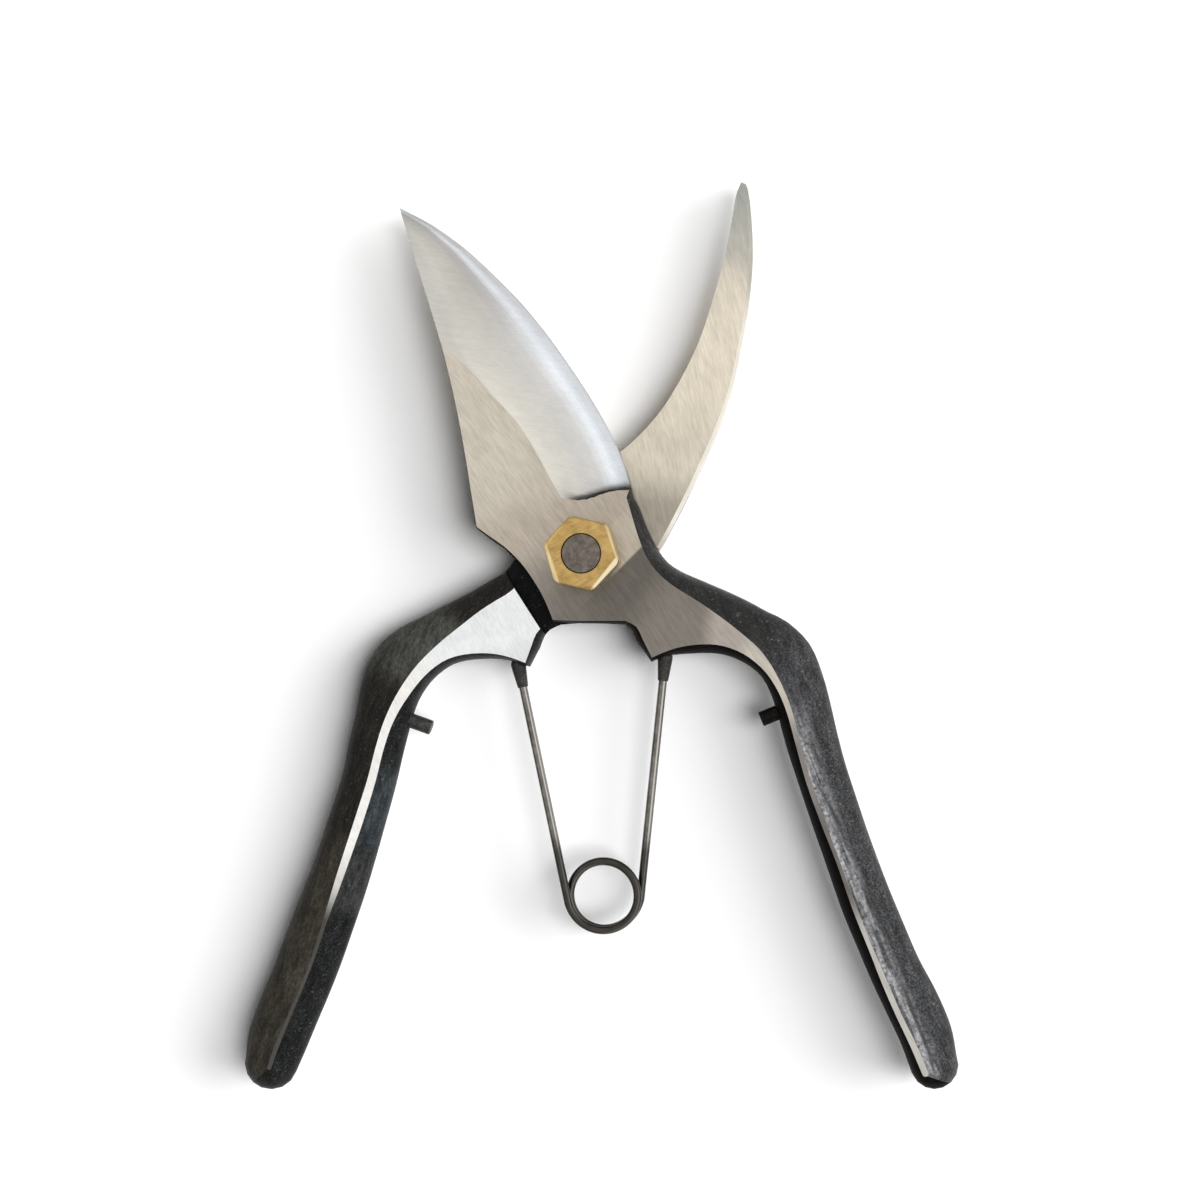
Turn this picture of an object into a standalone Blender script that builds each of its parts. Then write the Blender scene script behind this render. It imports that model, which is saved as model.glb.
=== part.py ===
"""Forged pruning scissors, open on their V spring: two halves, a bolt and nut, the spring and four fittings.

X runs across the handles, Y from the handles to the blade tips, Z up. The pivot's axis is x = y = 0,
and z = 0 is the surface that the bolt's head rests on. Lengths below are millimetres.
"""

import math

import bmesh
import bpy
from mathutils import Matrix, Vector

MM = 0.001

# Reach of the blades in front of the pivot, and of the handles behind it and to each side
BLADE_REACH = 72.4
HANDLE_REACH = 99.8
HANDLE_SPREAD = 65.4

# Heights
FACE_TOP = 11.6
FACE_UNDER = 2.9
MIDDLE = (FACE_TOP + FACE_UNDER) / 2
PLAY = 0.3
JOINT_UPPER = MIDDLE + PLAY / 2
JOINT_LOWER = MIDDLE - PLAY / 2
HEAD_TOP = FACE_UNDER - PLAY
NUT_UNDER = FACE_TOP + PLAY
NUT_TOP = 17.4

# Pivot
BOLT_RADIUS = 4.0
THREAD_RADIUS = 3.45
HEAD_RADIUS = 7.2
NUT_FLATS = 13.0
NUT_TURN = math.radians(17)

# Forging: how the sides swell between the two faces, and how finely they are stepped
SWELL_START = math.radians(25)
SWELL_STEPS = 8
EDGE_THICKNESS = 0.3
EDGE_LAND = 1.0
EDGE_LAND_DROP = 0.45
OUTLINE_STEP = 1.5
TAPER_START = 20
TAPER_RISE = 2.0

# Spring
WIRE_RADIUS = 0.8
COIL_RADIUS = 6.6
COIL_PITCH = 2.25
COIL_CENTRE = Vector((3.55, -66.0))
LEFT_LOOSE = 0.3
RIGHT_LOOSE = 0.45
LOOSE_TURN = math.radians(70)
LEFT_SEAT = Vector((-13.2, -21.2))
RIGHT_SEAT = Vector((15.5, -19.8))
DOME_RADIUS = 1.45
FERRULE_LENGTH = 4.6
FERRULE_MOUTH = 1.15
FERRULE_BORE = 0.92
FERRULE_DEPTH = 1.6
POINTS_PER_TURN = 24

# Pegs: where each one's axis leaves the handle, and which way it points
PEG_RADIUS = 1.45
PEG_SEAT_DEPTH = 3.2
LEFT_PEG = (Vector((-35.0, -32.0)), Vector((4.8, -1.7)), 5.0)
RIGHT_PEG = (Vector((38.2, -30.0)), Vector((-3.6, -1.5)), 4.6)

# Outlines of the upper flat, counter-clockwise: x, y and how far the side swells outwards from there. They
# are drawn for one size, and what lies beyond these roots moves when a reach above is changed.
BLADE_ROOT = 20
HANDLE_ROOT = 40
SPREAD_ROOT = 25
CUT_EDGE = [
    (9.0, 12.8, 0), (8.2, 15.6, 0), (5.9, 21.7, 0), (2.9, 27.4, 0), (-0.5, 33.0, 0), (-4.0, 38.2, 0),
    (-7.9, 43.6, 0), (-12.4, 49.1, 0), (-17.9, 54.8, 0), (-24.1, 60.5, 0), (-30.5, 65.1, 0), (-36.6, 68.3, 0),
]
CUT_SPINE = [
    (-36.6, 68.3, 0), (-34.6, 62.4, 0.1), (-32.3, 55.4, 0.2), (-29.8, 47.6, 0.2), (-27.5, 39.8, 0.2),
    (-25.2, 30.4, 0.2), (-23.2, 20.1, 0.2), (-21.8, 11.5, 0.2), (-20.8, 5.4, 0.4),
]
CUT_WAIST = [
    (-20.8, 5.4, 0.4), (-18.2, 3.5, 0.5), (-15.6, 1.7, 0.5), (-13.3, -0.4, 0.5), (-11.3, -2.7, 0.4),
    (-9.4, -5.5, 0.3), (-7.9, -8.1, 0.3), (-6.9, -10.3, 0.3), (-6.0, -12.6, 0.3),
]
CUT_FOOT = [(-6.0, -12.6, 0.3), (-2.1, -12.8, 0.4), (3.5, -12.8, 0.5), (8.0, -12.8, 0.7)]
CUT_TAB = [(8.0, -12.8, 0.7), (10.1, -13.9, 1.3), (11.3, -16.2, 1.4), (13.1, -19.9, 0.6)]
CUT_INSIDE = [
    (13.1, -19.9, 0.6), (15.3, -18.9, 0.8), (17.9, -18.0, 1.3), (20.5, -17.5, 1.6), (22.9, -17.3, 1.7),
    (25.6, -17.4, 1.7), (28.1, -18.0, 1.6), (30.6, -19.1, 1.5), (32.9, -20.7, 1.3), (35.1, -22.9, 1.2),
    (37.3, -26.4, 1.5), (38.9, -30.4, 1.8), (40.7, -37.0, 1.8), (42.6, -43.8, 1.5), (45.3, -51.3, 1.7),
    (48.3, -59.0, 2.0), (51.4, -68.0, 2.0), (54.2, -75.0, 1.9), (56.7, -81.4, 1.7), (59.1, -87.0, 1.5),
    (62.0, -93.2, 1.5), (64.3, -98.6, 1.8),
]
CUT_OUTSIDE = [
    (65.4, -98.2, 6.2), (63.3, -93.2, 7.4), (60.3, -87.0, 7.8), (57.3, -80.0, 7.2), (54.3, -73.0, 7.2),
    (51.4, -65.4, 7.0), (47.9, -55.9, 7.0), (45.6, -49.3, 7.1), (43.0, -41.8, 7.3), (41.5, -36.0, 7.3),
    (39.7, -29.4, 7.6), (38.4, -26.0, 8.0), (36.1, -21.5, 8.4), (33.6, -18.1, 7.5), (31.3, -16.0, 6.4),
    (28.1, -13.4, 5.6), (25.0, -11.1, 4.8), (21.8, -8.9, 4.0), (16.8, -5.7, 3.1), (14.1, -3.3, 2.7),
    (12.0, -0.2, 2.5), (10.6, 3.3, 2.1), (9.7, 6.2, 1.8), (8.9, 8.9, 1.6), (8.3, 11.0, 1.2), (9.0, 12.8, 0),
]
HOOK_EDGE = [
    (30.3, 72.4, 0), (29.5, 70.6, 0), (28.4, 64.5, 0), (27.1, 58.1, 0), (24.9, 50.0, 0), (22.1, 41.6, 0),
    (18.6, 34.4, 0), (14.7, 28.2, 0), (10.6, 23.5, 0), (6.7, 20.1, 0), (2.0, 17.0, 0), (-3.0, 14.6, 0),
    (-8.6, 13.0, 0),
]
HOOK_OUTSIDE = [
    (-8.6, 13.0, 0), (-8.4, 10.6, 1.0), (-9.4, 6.4, 1.7), (-10.5, 1.6, 2.2), (-11.7, -3.0, 3.2),
    (-13.7, -6.7, 4.2), (-16.8, -8.7, 4.3), (-20.1, -10.8, 4.5), (-24.0, -13.8, 5.5), (-27.4, -16.5, 6.4),
    (-31.0, -19.8, 8.0), (-33.3, -22.4, 8.8), (-35.8, -26.0, 8.6), (-37.9, -29.9, 7.4), (-39.4, -33.6, 6.4),
    (-40.6, -37.6, 6.2), (-42.2, -43.8, 5.8), (-45.3, -53.2, 5.7), (-48.3, -62.6, 5.9), (-50.8, -71.0, 6.7),
    (-53.1, -78.2, 7.1), (-55.6, -84.6, 7.0), (-57.5, -88.9, 7.0), (-60.4, -95.6, 6.5), (-61.7, -99.4, 5.6),
]
HOOK_INSIDE = [
    (-61.0, -99.8, 4.2), (-59.6, -95.9, 4.5), (-56.9, -89.2, 4.6), (-55.0, -84.8, 4.6), (-52.5, -78.5, 4.6),
    (-50.1, -71.4, 4.7), (-47.7, -65.0, 4.5), (-45.7, -59.5, 4.2), (-43.0, -51.8, 3.7), (-40.5, -43.8, 3.4),
    (-39.1, -38.2, 3.3), (-37.6, -33.6, 3.0), (-35.9, -30.1, 2.3), (-34.2, -27.5, 1.6), (-32.5, -25.2, 1.3),
    (-30.8, -23.3, 1.2), (-28.7, -21.5, 1.2), (-26.3, -20.1, 1.2), (-23.4, -19.3, 1.2), (-20.1, -19.0, 1.2),
    (-17.0, -19.2, 1.0), (-14.3, -19.8, 0.8), (-11.3, -20.9, 0.6),
]
HOOK_TAB = [
    (-11.3, -20.9, 0.6), (-10.1, -17.6, 1.2), (-9.2, -15.3, 1.2), (-7.6, -13.7, 1.0), (-5.0, -12.8, 0.7),
]
HOOK_FOOT = [(-5.0, -12.8, 0.7), (-1.0, -12.7, 0.5), (2.5, -12.7, 0.4), (6.0, -12.6, 0.3)]
HOOK_WAIST = [
    (6.0, -12.6, 0.3), (6.9, -10.3, 0.3), (7.9, -8.1, 0.3), (9.4, -5.5, 0.3), (11.3, -2.7, 0.2),
    (13.4, -0.2, 0), (15.0, 2.1, 0), (16.6, 5.0, 0), (19.6, 10.8, 0), (22.9, 17.8, 0), (25.8, 24.4, 0),
    (28.3, 31.4, 0), (30.2, 39.7, 0), (31.7, 48.2, 0), (32.5, 56.8, 0), (32.4, 63.6, 0), (31.8, 69.8, 0),
    (31.2, 72.0, 0), (30.3, 72.4, 0),
]

# Each step's line, where a half thickens from the joint to the whole depth, given for the hook half
STEP_LINE = (Vector((-19.5, 2.9)), Vector((-5.0, -19.6)))

# The ground bevel, row by row from past the tip to the heel: upper border, height there, edge point
BEVEL_ROWS = [
    ((-38.2, 70.6), 8.3, (-35.6, 71.8)), ((-36.6, 67.6), 8.6, (-35.0, 68.6)),
    ((-35.2, 63.0), 9.2, (-30.5, 65.1)), ((-32.9, 56.0), 10.0, (-24.1, 60.5)),
    ((-30.2, 48.0), 10.9, (-17.9, 54.8)), ((-27.6, 40.9), 11.6, (-12.4, 49.1)),
    ((-22.3, 36.0), 11.6, (-7.9, 43.6)), ((-17.6, 30.7), 11.6, (-4.0, 38.2)),
    ((-13.3, 26.0), 11.6, (-0.5, 33.0)), ((-9.8, 20.8), 11.6, (2.9, 27.4)),
    ((-7.0, 15.6), 11.6, (5.9, 21.7)), ((-5.2, 12.4), 11.6, (8.2, 15.6)),
    ((-4.4, 11.0), 11.6, (9.1, 13.2)),
]
BEVEL_HEEL = [(-4.2, 10.6), (-2.6, 9.9), (-0.4, 9.9), (1.8, 10.6), (4.0, 11.6), (6.2, 12.2), (9.4, 12.3)]
BEVEL_SHARES = (-0.08, 0.0, 0.12, 0.25, 0.38, 0.5, 0.62, 0.75, 0.88, 1.0)
BEVEL_ROW_STEPS = 3
PAST_EDGE = 1.15


def clear_scene():
    for obj in list(bpy.data.objects):
        bpy.data.objects.remove(obj, do_unlink=True)


def collection(name, helper=False):
    made = bpy.data.collections.new(name)
    bpy.context.scene.collection.children.link(made)
    made.hide_render = helper
    return made


def material(name, colour, metallic, roughness):
    made = bpy.data.materials.new(name)
    made.use_nodes = True
    shader = made.node_tree.nodes["Principled BSDF"]
    shader.inputs["Base Color"].default_value = (*colour, 1)
    shader.inputs["Metallic"].default_value = metallic
    shader.inputs["Roughness"].default_value = roughness
    made.diffuse_color = (*colour, 1)
    return made


def add_object(name, mesh, paint=None):
    """Adds a node, or a cutter where it has no material."""
    obj = bpy.data.objects.new(name, mesh)
    if paint is None:
        cutters.objects.link(obj)
        obj.hide_render = True
        obj.display_type = "WIRE"
    else:
        scissors.objects.link(obj)
        obj.data.materials.append(paint)
    return obj


def mesh_of(name, build):
    """Makes a mesh from what build adds to an empty bmesh, with its faces outwards."""
    mesh = bpy.data.meshes.new(name)
    work = bmesh.new()
    build(work)
    bmesh.ops.recalc_face_normals(work, faces=work.faces)
    work.to_mesh(mesh)
    work.free()
    return mesh


def smoothed(obj, angle=30):
    for polygon in obj.data.polygons:
        polygon.use_smooth = True
    obj.data.set_sharp_from_angle(angle=math.radians(angle))


def boolean(obj, other, operation="DIFFERENCE"):
    change = obj.modifiers.new(f"{operation} {other.name}", "BOOLEAN")
    change.operation = operation
    change.solver = "EXACT"
    change.object = other


def applied(obj):
    """Turns the modifiers into mesh, so that the finished surface can be shaded."""
    graph = bpy.context.evaluated_depsgraph_get()
    mesh = bpy.data.meshes.new_from_object(obj.evaluated_get(graph))
    obj.modifiers.clear()
    obj.data = mesh
    return obj


def stretched(value, root, drawn, wanted):
    return value if value < root else root + (value - root) * (wanted - root) / (drawn - root)


def sized(x, y, *rest):
    """Where a drawn point lies with the reaches set at the top."""
    if y > 0:
        return x, stretched(y, BLADE_ROOT, drawn_blade, BLADE_REACH), *rest
    aside = stretched(abs(x), SPREAD_ROOT, drawn_spread, HANDLE_SPREAD)
    return math.copysign(aside, x), -stretched(-y, HANDLE_ROOT, drawn_handle, HANDLE_REACH), *rest


def through(marks, spacing, steps=None):
    """Points about this far apart, or this many between two marks, on one smooth curve through the marks."""
    marks = [Vector(mark) for mark in marks]
    marks = [marks[0] * 2 - marks[1], *marks, marks[-1] * 2 - marks[-2]]
    points = []
    for a, b, c, d in zip(marks, marks[1:], marks[2:], marks[3:]):
        knots = [0]
        for p, q in ((a, b), (b, c), (c, d)):
            knots.append(knots[-1] + math.sqrt((q.xy - p.xy).length))
        count = steps or max(1, round((c.xy - b.xy).length / spacing))
        for step in range(count):
            t = knots[1] + (knots[2] - knots[1]) * step / count

            def blend(p, q, start, end):
                return p + (q - p) * ((t - start) / (end - start))

            ab, bc, cd = (
                blend(p, q, knots[i], knots[i + 1]) for i, (p, q) in enumerate(((a, b), (b, c), (c, d)))
            )
            before, after = blend(ab, bc, knots[0], knots[2]), blend(bc, cd, knots[1], knots[3])
            points.append(blend(before, after, knots[1], knots[2]))
    points.append(marks[-2])
    return points


def outward(points, index):
    before = points[max(index - 1, 0)].xy
    after = points[min(index + 1, len(points) - 1)].xy
    along = (after - before).normalized()
    return Vector((along.y, -along.x))


def flat_and_swell(runs, spacing=OUTLINE_STEP):
    """Pairs of points round a half: on its flat's border, and where its side swells furthest. None marks the
    handle's end, which is rounded between the two runs beside it."""
    curves = [through([sized(*mark) for mark in run], spacing) if run else None for run in runs]
    pairs = []
    for number, curve in enumerate(curves):
        if curve is None:
            inner, outer = curves[number - 1], curves[(number + 1) % len(curves)]
            first = (inner[-1].xy, inner[-1].xy + outward(inner, len(inner) - 1) * inner[-1].z)
            last = (outer[0].xy, outer[0].xy + outward(outer, 0) * outer[0].z)
            pairs.append(first)
            for step in range(1, 8):
                turn = math.pi * step / 8
                pair = []
                for a, b in zip(first, last):
                    half = (a - b) / 2
                    ahead = Vector((-half.y, half.x))
                    pair.append((a + b) / 2 + half * math.cos(turn) + ahead * math.sin(turn))
                pairs.append(tuple(pair))
            continue
        before = curves[number - 1]
        for index, point in enumerate(curve[:-1]):
            normal = outward(curve, index)
            if index == 0 and before is not None:
                other = outward(before, len(before) - 1)
                normal = (normal + other) / (1 + max(normal.dot(other), -0.5))
            pairs.append((point.xy, point.xy + normal * point.z))
    return pairs


def forging(name, pairs):
    """A body with the same flat on both faces and sides that swell between them."""

    def build(work):
        rings = []
        for step in range(SWELL_STEPS + 1):
            turn = SWELL_START + (math.pi - 2 * SWELL_START) * step / SWELL_STEPS
            share = (math.sin(turn) - math.sin(SWELL_START)) / (1 - math.sin(SWELL_START))
            height = MIDDLE + (FACE_TOP - MIDDLE) * math.cos(turn) / math.cos(SWELL_START)
            places = [flat.lerp(swell, share) for flat, swell in pairs]
            rings.append([work.verts.new((x * MM, y * MM, height * MM)) for x, y in places])
        for upper, lower in zip(rings, rings[1:]):
            for index in range(len(upper)):
                work.faces.new((upper[index - 1], upper[index], lower[index], lower[index - 1]))
        work.faces.new(rings[0])
        work.faces.new(rings[-1])

    return mesh_of(name, build)


def prism(name, corners, low, high):
    def build(work):
        below = [work.verts.new((x * MM, y * MM, low * MM)) for x, y in corners]
        face = work.faces.new(below)
        grown = bmesh.ops.extrude_face_region(work, geom=[face])["geom"]
        moved = [item for item in grown if isinstance(item, bmesh.types.BMVert)]
        bmesh.ops.translate(work, verts=moved, vec=(0, 0, (high - low) * MM))

    return mesh_of(name, build)


def bevel_cutter():
    """What the grinding takes off above the cutting edge: a slightly domed slope that ends in a narrow and
    steeper land at the edge, and in a steep heel behind."""

    def row(border, edge):
        height, border, edge = border.z, border.xy, edge.xy
        land = EDGE_LAND / (edge - border).length
        low = JOINT_UPPER + EDGE_THICKNESS
        points = []
        for share in BEVEL_SHARES:
            fall = share if share < 0 else 1 - (1 - share) ** 0.85
            place = border.lerp(edge, share * (1 - land))
            points.append((*place, height + (low + EDGE_LAND_DROP - height) * fall))
        for share in (1, PAST_EDGE):
            points.append((*border.lerp(edge, share), low - EDGE_LAND_DROP * (share - 1) / land))
        return points

    def build(work):
        borders = [(*sized(*border), height) for border, height, edge in BEVEL_ROWS]
        edges = [(*sized(*edge), 0) for border, height, edge in BEVEL_ROWS]
        borders, edges = (through(side, 0, BEVEL_ROW_STEPS) for side in (borders, edges))
        rows = [row(*pair) for pair in zip(borders, edges)]
        heel = through([(x, y, 0) for x, y in BEVEL_HEEL], 0.25)
        width = heel[-1].x - heel[0].x
        top = []
        for share in [share * (1 - EDGE_LAND / width) for share in BEVEL_SHARES] + [1, PAST_EDGE]:
            inside = min(max(share, 0), 1)
            point = heel[round(inside * (len(heel) - 1))]
            top.append((point.x + width * (share - inside), point.y, FACE_TOP + 0.4))
        rows.append(top)
        last = len(top) - 1
        lower = [[work.verts.new(Vector(point) * MM) for point in points] for points in rows]
        upper = [[work.verts.new(Vector((x, y, FACE_TOP + 3)) * MM) for x, y, z in points] for points in rows]
        for i in range(len(rows) - 1):
            for j in range(last):
                for grid in (lower, upper):
                    work.faces.new((grid[i][j], grid[i + 1][j], grid[i + 1][j + 1], grid[i][j + 1]))
        border = [(0, j) for j in range(last + 1)]
        border += [(i, last) for i in range(1, len(rows))]
        border += [(len(rows) - 1, j) for j in reversed(range(last))]
        border += [(i, 0) for i in reversed(range(1, len(rows) - 1))]
        for (a, b), (c, d) in zip(border, border[1:] + border[:1]):
            work.faces.new((lower[a][b], lower[c][d], upper[c][d], upper[a][b]))

    return add_object("cut bevel", mesh_of("cut bevel", build))


def taper_cutter():
    """What the counter blade loses underneath, so that it thins towards its tip."""
    end = BLADE_REACH * 1.1
    slope = TAPER_RISE / (BLADE_REACH - TAPER_START)
    end_height = FACE_UNDER + slope * (end - TAPER_START)
    corners = [(TAPER_START, FACE_UNDER), (end, end_height), (end, 0), (TAPER_START, 0)]

    def build(work):
        near = [work.verts.new((-BLADE_REACH * MM, y * MM, z * MM)) for y, z in corners]
        grown = bmesh.ops.extrude_face_region(work, geom=[work.faces.new(near)])["geom"]
        moved = [item for item in grown if isinstance(item, bmesh.types.BMVert)]
        bmesh.ops.translate(work, verts=moved, vec=(2 * BLADE_REACH * MM, 0, 0))

    return add_object("hook taper", mesh_of("hook taper", build))


def cylinder_cutter(name, radius, start, end, segments=32):
    """A round cutter between two points."""
    start, end = Vector(start), Vector(end)

    def build(work):
        bmesh.ops.create_cone(
            work, cap_ends=True, segments=segments, radius1=radius * MM, radius2=radius * MM,
            depth=(end - start).length * MM,
        )

    obj = add_object(name, mesh_of(name, build))
    obj.rotation_mode = "QUATERNION"
    obj.rotation_quaternion = (end - start).to_track_quat("Z", "Y")
    obj.location = (start + end) / 2 * MM
    return obj


def ball_cutter(name, radius, centre):
    def build(work):
        bmesh.ops.create_uvsphere(work, u_segments=24, v_segments=12, radius=radius * MM)

    obj = add_object(name, mesh_of(name, build))
    obj.location = Vector(centre) * MM
    return obj


def turned(name, profile, paint, steps=32):
    """A body turned about Z from (radius, height) points that start and end on the axis."""
    mesh = bpy.data.meshes.new(name)
    points = [(radius * MM, 0, height * MM) for radius, height in profile]
    mesh.from_pydata(points, [(i, i + 1) for i in range(len(points) - 1)], [])
    obj = add_object(name, mesh, paint)
    screw = obj.modifiers.new("Turn", "SCREW")
    screw.axis = "Z"
    screw.steps = steps
    screw.render_steps = steps
    screw.use_merge_vertices = True
    screw.merge_threshold = 0.00001
    applied(obj)
    work = bmesh.new()
    work.from_mesh(obj.data)
    bmesh.ops.recalc_face_normals(work, faces=work.faces)
    work.to_mesh(obj.data)
    work.free()
    return obj


def mirrored(points):
    return [(-x, y) for x, y in points]


def finish_half(obj, low, high, region, cuts):
    joint = add_object(f"{obj.name} joint", prism(f"{obj.name} joint", region, low, high))
    for other in [joint, *cuts]:
        boolean(obj, other)
    bpy.context.view_layer.update()
    applied(obj)
    smoothed(obj, 28)


def coil_geometry():
    """Heading angles of the two legs, from each seat to where its leg meets the coil."""
    angles = []
    for seat, side, loose in ((LEFT_SEAT, -1, LEFT_LOOSE), (RIGHT_SEAT, 1, RIGHT_LOOSE)):
        to_centre = COIL_CENTRE - seat
        lean = math.asin((COIL_RADIUS + loose) / to_centre.length)
        angles.append(math.atan2(to_centre.y, to_centre.x) + side * lean)
    return angles


def spring_path():
    """Points of the wire from the left ferrule down its leg, round the coil and up to the right ferrule."""
    left, right = coil_geometry()
    start = left - math.pi / 2
    end = right + math.pi / 2 + 2 * math.pi
    while end - start < 2.2 * math.pi:
        end += 2 * math.pi
    turns = (end - start) / (2 * math.pi)
    drop = COIL_PITCH * turns / 2
    steps = round(turns * POINTS_PER_TURN)
    coil = []
    for step in range(steps + 1):
        share = step / steps
        turn = start + (end - start) * share
        radius = COIL_RADIUS
        radius += LEFT_LOOSE * max(0, 1 - (turn - start) / LOOSE_TURN) ** 2
        radius += RIGHT_LOOSE * max(0, 1 - (end - turn) / LOOSE_TURN) ** 2
        x, y = COIL_CENTRE + Vector((math.cos(turn), math.sin(turn))) * radius
        coil.append(Vector((x, y, MIDDLE + drop * (1 - 2 * share))))
    ends = []
    for seat, tangent in ((LEFT_SEAT, coil[0]), (RIGHT_SEAT, coil[-1])):
        seat = Vector((*seat, MIDDLE))
        ends.append(seat + (tangent - seat).normalized() * (FERRULE_DEPTH + PLAY))
    legs = [[end.lerp(tangent, k / 6) for k in range(6)] for end, tangent in zip(ends, (coil[0], coil[-1]))]
    return legs[0] + coil + legs[1][::-1]


def least_self_gap(points):
    """Smallest clear space between stretches of the wire that aren't neighbours."""
    fine = []
    for a, b in zip(points, points[1:]):
        count = max(1, math.ceil((b - a).length / 0.4))
        fine += [a.lerp(b, k / count) for k in range(count)]
    reach = [0]
    for a, b in zip(fine, fine[1:]):
        reach.append(reach[-1] + (b - a).length)
    far = 4 * COIL_RADIUS
    return min(
        (p - q).length
        for i, p in enumerate(fine)
        for j, q in enumerate(fine[i + 1 :], i + 1)
        if reach[j] - reach[i] > far
    ) - 2 * WIRE_RADIUS


def wire(name, points, radius, paint):
    curve = bpy.data.curves.new(name, "CURVE")
    curve.dimensions = "3D"
    curve.bevel_depth = radius * MM
    curve.bevel_resolution = 1
    curve.use_fill_caps = True
    spline = curve.splines.new("POLY")
    spline.points.add(len(points) - 1)
    for point, place in zip(spline.points, points):
        point.co = (*(place * MM), 1)
    obj = add_object(name, curve, paint)
    bpy.context.view_layer.update()
    mesh = bpy.data.meshes.new_from_object(obj.evaluated_get(bpy.context.evaluated_depsgraph_get()))
    scissors.objects.unlink(obj)
    bpy.data.objects.remove(obj)
    work = bmesh.new()
    work.from_mesh(mesh)
    bmesh.ops.remove_doubles(work, verts=work.verts, dist=0.00001)
    bmesh.ops.recalc_face_normals(work, faces=work.faces)
    work.to_mesh(mesh)
    work.free()
    mesh.materials.clear()
    made = add_object(name, mesh, paint)
    smoothed(made, 50)
    return made


def moved_origin(obj, place):
    """Puts the object's origin at a place in millimetres without moving its shape."""
    place = Vector(place) * MM
    obj.data.transform(Matrix.Translation(-place))
    obj.location = place


def ferrule(name, seat, tangent, paint):
    profile = [(0, DOME_RADIUS)]
    for k in range(1, 7):
        turn = math.radians(15 * k)
        profile.append((DOME_RADIUS * math.sin(turn), DOME_RADIUS * math.cos(turn)))
    profile += [
        (DOME_RADIUS, -0.2), (FERRULE_MOUTH, -FERRULE_LENGTH), (FERRULE_BORE, -FERRULE_LENGTH),
        (FERRULE_BORE, -FERRULE_DEPTH), (0, -FERRULE_DEPTH),
    ]
    obj = turned(name, profile, paint, 24)
    smoothed(obj)
    seat = Vector((*seat, MIDDLE))
    obj.rotation_mode = "QUATERNION"
    obj.rotation_quaternion = (seat - tangent).to_track_quat("Z", "Y")
    obj.location = seat * MM
    return obj


def peg(name, place, towards, length, paint):
    foot = PEG_SEAT_DEPTH - PLAY
    profile = [
        (0, -foot), (PEG_RADIUS - 0.2, -foot), (PEG_RADIUS, -foot + 0.2), (PEG_RADIUS, length - 0.25),
        (PEG_RADIUS - 0.25, length), (0, length),
    ]
    obj = turned(name, profile, paint, 24)
    smoothed(obj)
    obj.rotation_mode = "QUATERNION"
    obj.rotation_quaternion = Vector((*towards, 0)).to_track_quat("Z", "Y")
    obj.location = Vector((*sized(*place), MIDDLE)) * MM
    return obj


def peg_hole(name, place, towards):
    place, towards = Vector(sized(*place)), towards.normalized()
    start, end = place - towards * PEG_SEAT_DEPTH, place + towards * 4
    return cylinder_cutter(name, PEG_RADIUS + 0.2, (*start, MIDDLE), (*end, MIDDLE), 24)


clear_scene()
scissors = collection("pruning_scissors")
cutters = collection("cutters", helper=True)

cut_steel = material("cutting_steel", (0.60, 0.58, 0.54), 1.0, 0.32)
hook_steel = material("hook_steel", (0.62, 0.58, 0.52), 1.0, 0.36)
brass = material("nut_brass", (0.72, 0.50, 0.18), 1.0, 0.30)
bolt_steel = material("bolt_steel", (0.30, 0.27, 0.24), 1.0, 0.42)
spring_steel = material("spring_steel", (0.16, 0.15, 0.14), 1.0, 0.35)
collar_left_steel = material("left_collar_steel", (0.08, 0.08, 0.075), 0.9, 0.5)
collar_right_steel = material("right_collar_steel", (0.08, 0.08, 0.075), 0.9, 0.5)
peg_left_steel = material("left_peg_steel", (0.06, 0.06, 0.058), 0.9, 0.45)
peg_right_steel = material("right_peg_steel", (0.06, 0.06, 0.058), 0.9, 0.45)

# Spring and its ferrules
path = spring_path()
spring = wire("spring_wire", path, WIRE_RADIUS, spring_steel)
moved_origin(spring, (*LEFT_SEAT, MIDDLE))
ferrule("spring_ferrule_left", LEFT_SEAT, path[6], collar_left_steel)
ferrule("spring_ferrule_right", RIGHT_SEAT, path[-7], collar_right_steel)
print(f"spring: least gap to itself {least_self_gap(path):.2f} mm")

# The two forged halves
drawn_blade = max(y for x, y, swell in HOOK_EDGE)
drawn_handle = -min(y for x, y, swell in HOOK_INSIDE)
drawn_spread = max(x for x, y, swell in CUT_OUTSIDE)
bore = cylinder_cutter("pivot bore", BOLT_RADIUS + PLAY, (0, 0, 0), (0, 0, NUT_TOP), 48)
step_start, step_end = STEP_LINE
far_side, far_end = HANDLE_SPREAD, BLADE_REACH * 1.2
hook_region = [tuple(step_start), tuple(step_end)]
hook_region += [(far_side, step_end.y), (far_side, far_end), (step_start.x, far_end)]
cut_region = mirrored(hook_region)

cut_runs = [CUT_EDGE, CUT_SPINE, CUT_WAIST, CUT_FOOT, CUT_TAB, CUT_INSIDE, None, CUT_OUTSIDE]
cutting_half = add_object("cutting_half", forging("cutting_half", flat_and_swell(cut_runs)), cut_steel)
right_seat = ball_cutter("right seat", DOME_RADIUS + PLAY, (*RIGHT_SEAT, MIDDLE))
right_hole = peg_hole("right peg hole", *RIGHT_PEG[:2])
finish_half(cutting_half, 0, JOINT_UPPER, cut_region, [bevel_cutter(), bore, right_seat, right_hole])

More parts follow.
